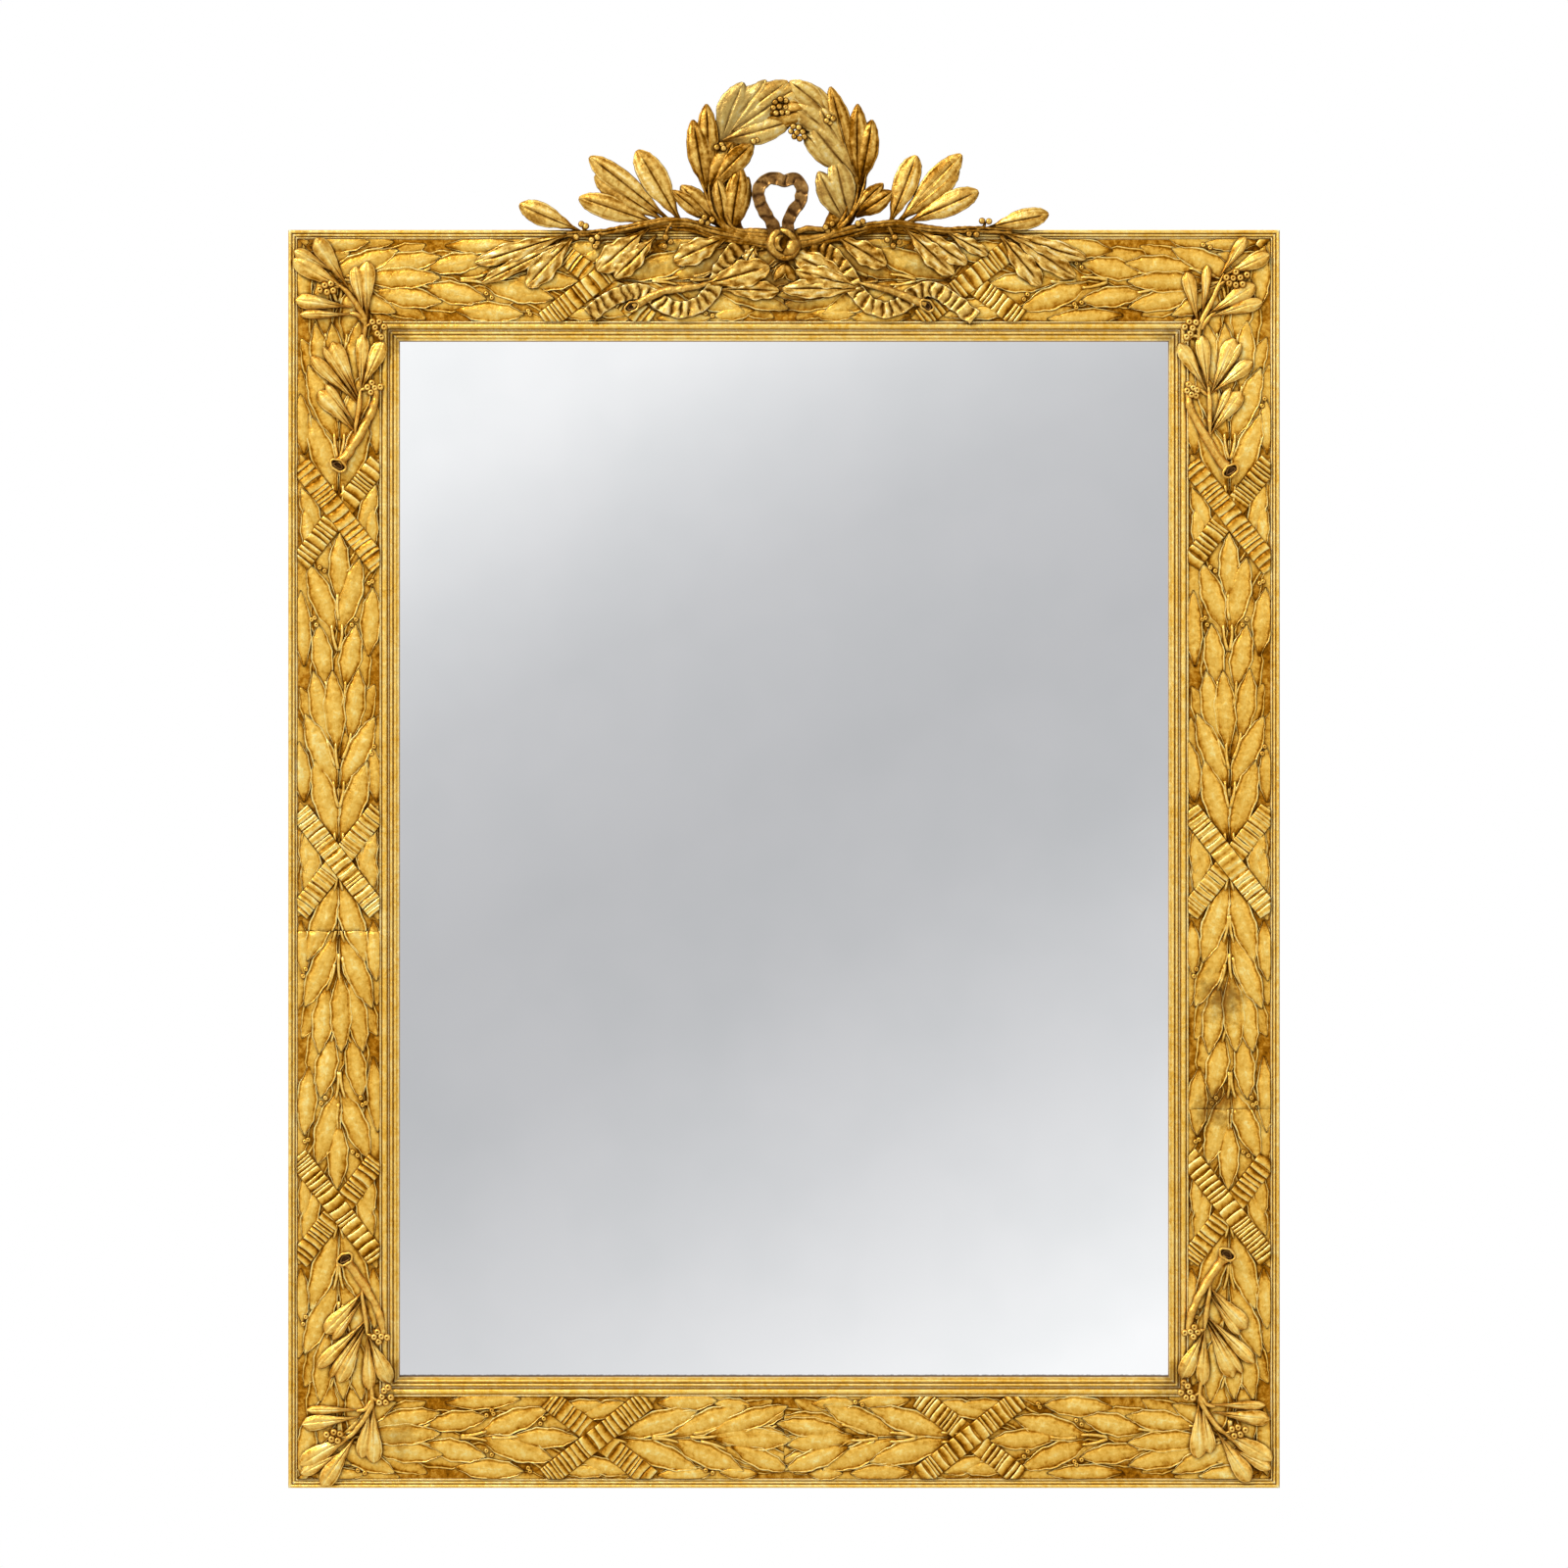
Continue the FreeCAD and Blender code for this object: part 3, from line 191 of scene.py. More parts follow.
def carved_height(u, v, seed):
    crown = 2.4 + 4.3 * math.sin(math.pi * min(1, 0.05 + 0.72 * u)) - 5.5 * max(0, u - 0.8)
    lobes = crown - 2.9 * abs(v) ** 2.6 + 0.5 * bump(abs(v), 0.92, 0.05)
    streaks = 0.55 * ragged(seed, 2.2 * u, 6 * v) + 0.12 * math.cos(17 * v + seed)
    groove = 1.9 * midline(u, v, seed, 0.06)
    return max(1.2, lobes - groove + streaks + 0.5 * v * math.sin(4 * u + seed))


# Wear and painted light: painted highlights on the lobes; painted shade at the very edge, in the
# groove and at the base; the rim is rubbed bright.
def carved_wear_and_shading(u, v, seed):
    rim = 0.75 * bump(abs(v), 0.93, 0.05) - 1.2 * bump(abs(v), 1.0, 0.03)
    crown = 0.40 * bump(abs(v), 0.42, 0.30) * math.sin(math.pi * u) ** 0.6
    crown -= 0.25 * bump(abs(v), 0.80, 0.07)
    streaks = 0.75 * ragged(seed + 5, 2.2 * u, 7 * v)
    return rim + crown + streaks - 0.85 * midline(u, v, seed, 0.045) - 0.85 * bump(u, 0, 0.24)


def spoon_height(u, v, seed):
    crown = 2.6 + 3.6 * math.sin(math.pi * min(1, 0.05 + 0.62 * u)) - 7.0 * max(0, u - 0.86)
    lobes = crown - 2.6 * abs(v) ** 2.4 + 0.45 * bump(abs(v), 0.92, 0.05) * (1 - 0.5 * u)
    streaks = 0.6 * ragged(seed, 2.5 * u, 3.5 * v)
    return max(1.0, lobes - 1.5 * midline(u, v, seed, 0.09) * (1.15 - u) + streaks)


# Wear and painted light: a painted highlight on the crown; painted shade at the very edge, beside
# the rim and in the groove; the rim is rubbed bright.
def spoon_wear_and_shading(u, v, seed):
    rim = 0.8 * bump(abs(v), 0.93, 0.05) - 1.2 * bump(abs(v), 1.0, 0.03)
    crown = 0.55 * bump(v, 0, 0.6) * math.sin(math.pi * min(1, 0.9 * u)) ** 0.7
    crown -= 0.3 * bump(abs(v), 0.78, 0.09)
    streaks = 0.8 * ragged(seed + 5, 2.5 * u, 4.5 * v)
    groove = 0.8 * midline(u, v, seed, 0.07) * (1.2 - u)
    return rim + crown + streaks - groove - 0.3 * bump(u, 0, 0.3)


def fold(u, v, seed):
    """The side folds of a wavy leaf, out of step on its two halves."""
    turn = math.pi * 0.7 if v > 0 else 0
    return math.sin(2 * math.pi * (3.7 * u - 1.1 * abs(v)) + seed + turn)


def wavy_height(u, v, seed):
    crown = 3.6 + 3.2 * math.sin(math.pi * min(1, 0.08 + 0.72 * u)) - 3.0 * max(0, u - 0.8)
    lobes = crown - 1.2 * v * v + 0.5 * bump(abs(v), 0.9, 0.07)
    lobes -= 2.3 * midline(u, v, seed, 0.08)
    turn = math.pi * 0.7 if v > 0 else 0
    waves = 1.15 * abs(v) ** 1.6 * math.sin(2 * math.pi * 3.7 * u + seed + turn)
    return lobes + waves + 0.42 * fold(u, v, seed) * (1 - abs(v))


# The folds are painted lighter on their crests and darker in their troughs: painted light and
# shade.
def wavy_wear_and_shading(u, v, seed):
    return carved_wear_and_shading(u, v, seed) + 0.45 * fold(u, v, seed) * min(1, 2.5 * abs(v))


# %% Fifteen leaves
ACROSS = (-1, -0.95, -0.89, -0.8, -0.62, -0.42, -0.22, -0.1, -0.035,
          0.035, 0.1, 0.22, 0.42, 0.62, 0.8, 0.89, 0.95, 1)
PRESSED_OUTLINE = ((0, 0.10), (0.10, 0.42), (0.25, 0.80), (0.42, 1.0), (0.58, 0.99),
                   (0.74, 0.81), (0.88, 0.46), (0.96, 0.18), (1, 0.04))
CARVED_OUTLINE = ((0, 0.10), (0.12, 0.19), (0.32, 0.56), (0.5, 0.90), (0.63, 1.0),
                  (0.78, 0.93), (0.89, 0.72), (0.965, 0.42), (1, 0.14))
SPOON_OUTLINE = ((0, 0.09), (0.14, 0.15), (0.34, 0.38), (0.54, 0.72), (0.70, 0.96),
                 (0.80, 1.0), (0.90, 0.86), (0.965, 0.55), (1, 0.2))
WREATH_OUTLINE = ((0, 0.20), (0.15, 0.46), (0.32, 0.82), (0.5, 1.0), (0.68, 0.95),
                  (0.83, 0.72), (0.94, 0.42), (1, 0.12))
# kind, outline, height rule, wear and shading rule, rows, seed step, edge wave, waves, back
# depth, draw in
LEAF_KINDS = (
    ("pressed", PRESSED_OUTLINE, pressed_height, pressed_wear_and_shading, 17, 2.1, 0.075, 3.4, 0.0, 0.1),
    ("carved", CARVED_OUTLINE, carved_height, carved_wear_and_shading, 24, 1.7, 0.025, 1.6, 0.0, 0.1),
    ("wavy", CARVED_OUTLINE, wavy_height, wavy_wear_and_shading, 30, 2.3, 0.09, 3.7, 0.0, 0.1),
    ("spoon", SPOON_OUTLINE, spoon_height, spoon_wear_and_shading, 24, 1.9, 0.02, 1.6, 0.0, 0.1),
    ("deep", WREATH_OUTLINE, carved_height, carved_wear_and_shading, 24, 1.3, 0.03, 1.7, 13.0, 0.3))
SHAPES = bpy.data.collections.new("shapes")
PICK = {}


def keep_shape(label, mesh):
    """Puts a stamp in the collection and remembers its number there."""
    SHAPES.objects.link(bpy.data.objects.new("shape_%02d_%s" % (len(PICK), label), mesh))
    PICK[label] = len(PICK)


def leaf_shape(name, seed, outline, rule, wear_and_shading_rule, rows, edge_wave, waves, depth, draw_in):
    grid, wear_and_shading = [], []
    for i in range(rows + 1):
        u = i / rows
        if 0 < i < rows:
            u = 0.5 - 0.5 * math.cos(math.pi * (0.06 + 0.88 * i / rows))
        row = []
        for v in ACROSS:
            turn = 1.9 if v > 0 else 0
            half = 0.5 * follow(outline, u)
            half *= 1 + edge_wave * math.sin(2 * math.pi * waves * u + seed + turn)
            row.append((u, v * half, rule(u, v, seed) * MM))
        grid.append(row)
        wear_and_shading.append([wear_and_shading_rule(u, v, seed) for v in ACROSS])
    return shell(name, grid, lambda p: (0.5 + (p[0] - 0.5) * (1 - draw_in / 3),
                                        p[1] * (1 - draw_in), -depth * MM), wear_and_shading)


for kind, outline, rule, wear_and_shading_rule, rows, step, *edge_and_back in LEAF_KINDS:
    for k in range(3):
        keep_shape("%s%d" % (kind, k), leaf_shape(kind, step * k, outline, rule, wear_and_shading_rule,
                                                  rows, *edge_and_back))
print("leaf shapes", list(PICK))

# %% [markdown]
# ## Berries, pleats and stalks
# A berry is turned from a profile, with a small dimple where the flower was. A bead is the
# same without the dimple. A pleat is a fold across the ribbon: one sharp edge that falls to a
# hollow, slightly bowed. A stalk is a low bent bar. They are laid hundreds of times, so each
# has only a few dozen faces.

# %% Berry, pleat and stalk shapes
def turned_shape(name, profile, sides, wear_and_shading):
    verts, faces = [], []
    for radius, height in profile:
        for k in range(sides):
            angle = 2 * math.pi * k / sides
            verts.append((radius * math.cos(angle), radius * math.sin(angle), height))
    for low in range(0, sides * (len(profile) - 1), sides):
        for k in range(sides):
            n = (k + 1) % sides
            faces.append((low + k, low + n, low + sides + n, low + sides + k))
    faces.append(list(range(sides))[::-1])
    faces.append([(len(profile) - 1) * sides + k for k in range(sides)])
    mesh = bpy.data.meshes.new(name)
    mesh.from_pydata(verts, [], faces)
    mesh.polygons.foreach_set("use_smooth", [True] * len(faces))
    carry(mesh, "wear_and_shading", "FLOAT", [mark for mark in wear_and_shading for _ in range(sides)])
    return mesh


def pleat_shape(bow, sharp):
    grid = []
    for u in (0, 0.04, 0.25, 0.5, 0.75, 0.96, 1):
        rise = 0.5 if u in (0, 1) else 1.0
        grid.append([(u - 0.5, 0.5 * v + bow * math.sin(math.pi * u), rise * level * MM)
                     for v, level in ((-1, 0.0), (-0.86, sharp), (-0.4, 0.95), (0.3, 0.5),
                                      (1, 0.16))])
    # the sharp edge is painted light and the hollow behind it dark: painted highlight and shade
    wear_and_shading = [[-1, 1.0, 0.5, -0.32, -0.9]] * len(grid)
    return shell("pleat", grid, lambda p: (p[0], p[1], -0.5 * MM), wear_and_shading)


def stalk_shape(bow):
    grid = []
    for u in (0, 0.15, 0.35, 0.6, 0.85, 1):
        half, rise = 0.5 * (1.1 - 0.35 * u), 1.5 - 0.4 * u
        grid.append([(u, v * half + bow * math.sin(math.pi * u), (0.3 + level * rise) * MM)
                     for v, level in ((-1, 0), (-0.6, 0.75), (0, 1), (0.6, 0.75), (1, 0))])
    # the ridge of the stalk is painted light and its sides dark: painted highlight and shade
    wear_and_shading = [[-1, -0.1, 0.7, -0.1, -1]] * len(grid)
    return shell("stalk", grid, lambda p: (p[0], p[1], -0.5 * MM), wear_and_shading)


BERRY = ((0.82, -0.4), (1.0, 0.25), (0.93, 0.62), (0.66, 0.92), (0.40, 1.0), (0.20, 0.78),
         (0.06, 0.66))
BEAD = ((0.82, -0.4), (1.0, 0.25), (0.92, 0.60), (0.70, 0.85), (0.40, 0.98), (0.14, 0.95),
        (0.04, 0.88))
# berries are painted dark at the foot and in the dimple, beads at the foot, and both light on
# top: painted shade and a painted highlight
keep_shape("berry", turned_shape("berry", BERRY, 10, (-1, -1, -0.3, 0.2, 0.5, -0.7, -1)))
keep_shape("bead", turned_shape("bead", BEAD, 10, (-1, -0.9, -0.3, 0.25, 0.5, 0.3, -0.3)))
keep_shape("stalk0", stalk_shape(0.3))
keep_shape("stalk1", stalk_shape(-0.3))
keep_shape("pleat0", pleat_shape(0.12, 1.1))
keep_shape("pleat1", pleat_shape(-0.08, 0.85))

# %% [markdown]
# ## Laying shapes with Geometry Nodes
# The maker had a few stamps and pressed them over and over. Geometry Nodes does the same:
# each point carries the turn, the size and the number of the stamp that goes there. A small
# seeded wobble stands for the hand that set them. The tree ends in Realize Instances, since
# only real faces can be exported, and in Set Material.

# %% Helpers for node trees
def feed(tree, node, inputs):
    """Links each input to a socket, or sets it to a plain value."""
    for key, value in inputs.items():
        if isinstance(value, bpy.types.NodeSocket):
            tree.links.new(value, node.inputs[key])
        else:
            node.inputs[key].default_value = value
    return node


def add(tree, kind, inputs=None, **settings):
    node = tree.nodes.new(kind)
    for key, value in settings.items():
        setattr(node, key, value)
    return feed(tree, node, inputs or {})


def new_tree(name, result, *sockets):
    """An empty tree with named inputs, each given as (name, kind) or (name, kind, value)."""
    tree = bpy.data.node_groups.new(name, "GeometryNodeTree")
    for label, kind, *value in sockets:
        socket = tree.interface.new_socket(label, in_out="INPUT", socket_type="NodeSocket" + kind)
        if value:
            socket.default_value = value[0]
    tree.interface.new_socket(result, in_out="OUTPUT", socket_type="NodeSocketGeometry")
    return tree, tree.nodes.new("NodeGroupInput").outputs


def end_tree(tree, shapes, finish):
    real = add(tree, "GeometryNodeRealizeInstances", {0: shapes})
    painted = add(tree, "GeometryNodeSetMaterial", {"Geometry": real.outputs[0],
                                                    "Material": finish})
    add(tree, "NodeGroupOutput", {0: painted.outputs[0]})
    print(tree.name, "has", len(tree.nodes), "nodes")
    return tree


def named(tree, kind, name):
    """What the points carry under a name."""
    read = add(tree, "GeometryNodeInputNamedAttribute", {"Name": name}, data_type=kind)
    return next(s for s in read.outputs if s.enabled and s.name == "Attribute")


def run_tree(mesh, tree, values):
    """Runs one tree over a mesh and returns the plain mesh that comes out."""
    worker = bpy.data.objects.new("worker", mesh)
    bpy.context.scene.collection.objects.link(worker)
    modifier = worker.modifiers.new("tree", "NODES")
    modifier.node_group = tree
    for item in tree.interface.items_tree:
        if item.item_type == "SOCKET" and item.in_out == "INPUT" and item.name in values:
            modifier[item.identifier] = values[item.name]
    worker.update_tag()
    ready = worker.evaluated_get(bpy.context.evaluated_depsgraph_get())
    result = bpy.data.meshes.new_from_object(ready)
    worker.modifiers.remove(modifier)
    bpy.data.objects.remove(worker)
    return result


# %% The tree that lays the stamps
def laying_tree():
    tree, given = new_tree("lay_stamps", "Laid", ("Points", "Geometry"),
                           ("Stamps", "Collection"), ("Finish", "Material"),
                           ("Wobble", "Float", 0.03), ("Seed", "Int", 7))
    stamps = add(tree, "GeometryNodeCollectionInfo", {
        "Collection": given["Stamps"], "Separate Children": True, "Reset Children": True})
    turn = add(tree, "FunctionNodeEulerToRotation", {0: named(tree, "FLOAT_VECTOR", "turn")})
    lay = add(tree, "GeometryNodeInstanceOnPoints", {
        "Points": given["Points"], "Instance": stamps.outputs[0], "Pick Instance": True,
        "Instance Index": named(tree, "INT", "pick"), "Rotation": turn.outputs[0],
        "Scale": named(tree, "FLOAT_VECTOR", "size")})
    chance = add(tree, "FunctionNodeRandomValue", data_type="FLOAT_VECTOR")
    feed(tree, chance, {0: (0, 0, -1), 1: (0, 0, 1), "Seed": given["Seed"]})
    slip = add(tree, "ShaderNodeVectorMath", {0: chance.outputs[0], "Scale": given["Wobble"]},
               operation="SCALE")
    nudge = add(tree, "FunctionNodeEulerToRotation", {0: slip.outputs[0]})
    hand = add(tree, "GeometryNodeRotateInstances", {"Instances": lay.outputs[0],
                                                     "Rotation": nudge.outputs[0]})
    return end_tree(tree, hand.outputs[0], given["Finish"])


LAYING = laying_tree()


def heading(dx, dz):
    """Turn that takes a stamp's length to (dx, dz) on the wall and its top towards the room."""
    turn = Matrix.Rotation(-math.atan2(dz, dx), 3, "Y") @ Matrix.Rotation(math.pi / 2, 3, "X")
    return tuple(turn.to_euler("XYZ"))


def laid(rows, finish, wobble, seed):
    """rows: (x, y, z in mm, turn, size in m, stamp, tone)."""
    mesh = bpy.data.meshes.new("points")
    mesh.from_pydata([(x * MM, y * MM, z * MM) for x, y, z, *_ in rows], [], [])
    carry(mesh, "turn", "FLOAT_VECTOR", [angle for row in rows for angle in row[3]])
    carry(mesh, "size", "FLOAT_VECTOR", [part for row in rows for part in row[4]])
    carry(mesh, "pick", "INT", [PICK[row[5]] for row in rows])
    carry(mesh, "tone", "FLOAT", [row[6] for row in rows])
    return run_tree(mesh, LAYING, {"Stamps": SHAPES, "Finish": finish, "Wobble": wobble,
                                   "Seed": seed})


def leaf_row(base, tip, width, y, stamp, tone, height):
    dx, dz = tip[0] - base[0], tip[1] - base[1]
    size = (math.hypot(dx, dz) * MM, width * MM, height)
    return (base[0], y, base[1], heading(dx, dz), size, stamp, tone)


def berry_row(place, radius, y, tone, kind="berry"):
    return (place[0], y, place[1], heading(1, 0), (radius * MM,) * 3, kind, tone)


# %% [markdown]
# ## Sweeping stems
# A twig follows a path and gets thinner, with knots where leaves grew. A second tree turns a
# chain of points into a curve, gives it a round section whose radius the points carry, and
# pushes the surface in and out with noise, as a rasp leaves it.

# %% The tree that sweeps a stem
def sweeping_tree():
    tree, given = new_tree("sweep_stem", "Stem", ("Path", "Geometry"), ("Finish", "Material"),
                           ("Rough", "Float", 0.0005), ("Grain", "Float", 140.0),
                           ("Sides", "Int", 12))
    curve = add(tree, "GeometryNodeMeshToCurve", {0: given["Path"]})
    ring = add(tree, "GeometryNodeCurvePrimitiveCircle", {"Resolution": given["Sides"],
                                                          "Radius": 1.0})
    sweep = add(tree, "GeometryNodeCurveToMesh", {
        "Curve": curve.outputs[0], "Profile Curve": ring.outputs[0],
        "Scale": named(tree, "FLOAT", "girth"), "Fill Caps": True})
    rasp = add(tree, "ShaderNodeTexNoise", {"Scale": given["Grain"]})
    centred = add(tree, "ShaderNodeMath", {0: rasp.outputs[0], 1: 0.5}, operation="SUBTRACT")
    depth = add(tree, "ShaderNodeMath", {0: centred.outputs[0], 1: given["Rough"]},
                operation="MULTIPLY")
    normal = add(tree, "GeometryNodeInputNormal").outputs[0]
    push = add(tree, "ShaderNodeVectorMath", {0: normal, "Scale": depth.outputs[0]},
               operation="SCALE")
    moved = add(tree, "GeometryNodeSetPosition", {"Geometry": sweep.outputs[0],
                                                  "Offset": push.outputs[0]})
    return end_tree(tree, moved.outputs[0], given["Finish"])


SWEEPING = sweeping_tree()


def smooth_path(points, steps, closed=False):
    """Catmull-Rom points through the given ones."""
    n = len(points)
    made = []
    for i in range(n if closed else n - 1):
        a, b, c, d = [Vector(points[(i + k) % n if closed else min(max(i + k, 0), n - 1)])
                      for k in (-1, 0, 1, 2)]
        for s in range(steps):
            t = s / steps
            made.append(0.5 * (2 * b + (c - a) * t + (2 * a - 5 * b + 4 * c - d) * t * t
                               + (3 * b - a - 3 * c + d) * t ** 3))
    return made if closed else made + [Vector(points[-1])]


def swept(path, radii, finish, rough, tone=0.0, sides=12, closed=False):
    """path in mm as (x, y, z), radii read along it."""
    line = smooth_path(path, 6, closed)
    n, last = len(line), len(radii) - 1
    mesh = bpy.data.meshes.new("path")
    edges = [(k, k + 1) for k in range(n - 1)] + ([(n - 1, 0)] if closed else [])
    mesh.from_pydata([p * MM for p in line], edges, [])
    girths = []
    for k in range(n):
        t = k / (n - 1) * last
        i = max(0, min(int(t), last - 1))
        girths.append((radii[i] + (radii[min(i + 1, last)] - radii[i]) * (t - i)) * MM)
    carry(mesh, "girth", "FLOAT", girths)
    carry(mesh, "tone", "FLOAT", [tone] * n)
    made = run_tree(mesh, SWEEPING, {"Finish": finish, "Rough": rough * MM, "Sides": sides})
    made.polygons.foreach_set("use_smooth", [len(p.vertices) == 4 for p in made.polygons])
    return made


# %% [markdown]
# ## Finishing a piece
# A finished piece is one mesh at the origin, because the export puts every object there. The
# helpers below join what was laid and swept, trim it at the mitres as the strips were sawn,
# and hang the piece on the part of the solid model that it stands for.

# %% Join, trim and hang
def joined(name, meshes):
    parts = [bpy.data.objects.new(name, mesh) for mesh in meshes]
    for part in parts:
        bpy.context.scene.collection.objects.link(part)
    if len(parts) > 1:
        with bpy.context.temp_override(active_object=parts[0], object=parts[0],
                                       selected_objects=parts, selected_editable_objects=parts):
            bpy.ops.object.join()
    return parts[0]


def trimmed(mesh, planes):
    """Saws the mesh along upright planes and closes the cuts."""
    work = bmesh.new()
    work.from_mesh(mesh)
    for (x, z), (nx, nz) in planes:
        cut = bmesh.ops.bisect_plane(
            work, geom=work.verts[:] + work.edges[:] + work.faces[:], dist=1e-7,
            plane_co=(x * MM, 0, z * MM), plane_no=(nx, 0, nz), clear_outer=True)
        rim = [e for e in cut["geom_cut"] if isinstance(e, bmesh.types.BMEdge) and e.is_boundary]
        bmesh.ops.holes_fill(work, edges=rim, sides=0)
    work.to_mesh(mesh)
    work.free()
    return mesh


def hang(name, meshes):
    """Joins the meshes into the dress of one node."""
    piece = joined("dress_" + name, meshes)
    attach(piece, "frame")
    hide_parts(name)
    print(piece.name, "faces", len(piece.data.polygons))


# By default the plate's value is -0.6, so the ground between the shapes is painted darker, partly
# dirt and partly shade.
def prism(points, y_back, y_front, finish, wear_and_shading=-0.6):
    """A flat plate with upright sides."""
    n = len(points)
    verts = [(x * MM, y * MM, z * MM) for y in (y_back, y_front) for x, z in points]
    faces = [list(range(n)), list(range(n, 2 * n))[::-1]]
    faces += [(k, (k + 1) % n, n + (k + 1) % n, n + k) for k in range(n)]
    mesh = closed_mesh("plate", verts, faces)
    mesh.materials.append(finish)
    carry(mesh, "wear_and_shading", "FLOAT", [wear_and_shading] * len(verts))
    return mesh


print("solid pieces to dress or paint", len(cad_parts))

# %% [markdown]
# ## Gilding
# Gold leaf is laid over red-brown bole. A century of dusting rubs it on the high places, and
# dirt stays in the hollows. So one value is added up from the wear and painted light that the
# carver's shapes carry, three sizes of noise, the tone of the piece and, on the mouldings, a
# painted highlight on the ridges. It picks among five golds, from the deepest brown to a bright
# edge. Over that come an olive cast where a tone is below nought, soft brown patches of painted
# shade, specks of bole, and a dark brown, partly dirt and partly painted shade, wherever the
# Ambient Occlusion node finds a hollow. These dark places are dull, so the metal share and the
# roughness follow the same value.

# %% Colours and node helpers
def paint(code):
    """A colour from six hexadecimal digits, in linear light."""
    parts = [int(code[k:k + 2], 16) / 255 for k in (0, 2, 4)]
    return tuple(c / 12.92 if c <= 0.04045 else ((c + 0.055) / 1.055) ** 2.4
                 for c in parts) + (1.0,)


def grain(tree, where, scale, detail=4.0, rough=0.6, twist=0.0):
    return add(tree, "ShaderNodeTexNoise", {"Vector": where, "Scale": scale, "Detail": detail,
                                            "Roughness": rough, "Distortion": twist}).outputs[0]


def ranged(tree, value, low, high, out_low=0.0, out_high=1.0):
    return add(tree, "ShaderNodeMapRange", {"Value": value, "From Min": low, "From Max": high,
                                            "To Min": out_low, "To Max": out_high}).outputs[0]


def sums(tree, operation, a, b):
    """One step of arithmetic; a product is kept between 0 and 1."""
    return add(tree, "ShaderNodeMath", {0: a, 1: b}, operation=operation,
               use_clamp=operation == "MULTIPLY").outputs[0]


def mixed(tree, share, a, b):
    """Colour a, turning to b where the share is 1; b is a socket or six digits."""
    b = paint(b) if isinstance(b, str) else b
    return add(tree, "ShaderNodeMix", {0: share, 6: a, 7: b}, data_type="RGBA").outputs[2]


def ramped(tree, value, stops):
    """A colour ramp through (place, colour) pairs, the first at 0 and the last at 1."""
    ramp = add(tree, "ShaderNodeValToRGB", {0: value})
    ends = ramp.color_ramp.elements
    for place, colour in stops:
        stop = ends[0] if place == 0 else ends[-1] if place == 1 else ends.new(place)
        stop.color = colour
    return ramp.outputs[0]


def relief(tree, height, strength, distance):
    return add(tree, "ShaderNodeBump", {"Height": height, "Strength": strength,
                                        "Distance": distance}).outputs[0]


def hollows(tree, distance, inside=False):
    """1 in the open and less where other surfaces stand close by."""
    return add(tree, "ShaderNodeAmbientOcclusion", {"Distance": distance}, samples=5,
               inside=inside).outputs["AO"]


def blank_finish(name):
    finish = bpy.data.materials.new(name)
    finish.use_nodes = True
    finish.node_tree.nodes.clear()
    return finish, finish.node_tree


def new_finish(name):
    """A finish with its shader, and the socket that says where on the piece a point lies."""
    finish, tree = blank_finish(name)
    shader = add(tree, "ShaderNodeBsdfPrincipled")
    add(tree, "ShaderNodeOutputMaterial", {"Surface": shader.outputs[0]})
    return finish, tree, shader, add(tree, "ShaderNodeTexCoord").outputs["Object"]


# %% The gilded finish
# painted shade: x, z and radius in mm of each dark patch, and how strong it is
PAINTED_SHADE_PATCHES = ((-394, 532, 17, 0.5), (394, 530, 17, 0.45), (-392, -526, 20, 0.5),
           (395, -530, 20, 0.5), (447, -143, 26, 0.7), (440, -255, 24, 0.6),
           (-395, -590, 22, 0.35), (0, 598, 50, 0.75), (-74, 612, 44, 0.65),
           (74, 612, 44, 0.65), (-158, 612, 36, 0.55), (158, 612, 36, 0.55),
           (-478, 628, 26, 0.3), (-430, 560, 30, 0.15), (-466, 546, 30, 0.2),
           (-452, 600, 22, 0.1))
OLIVE, PAINTED_SHADE_BROWN, BOLE, LEAF_TINT = "9A8650", "784E1C", "7B4A1E", "F0C468"


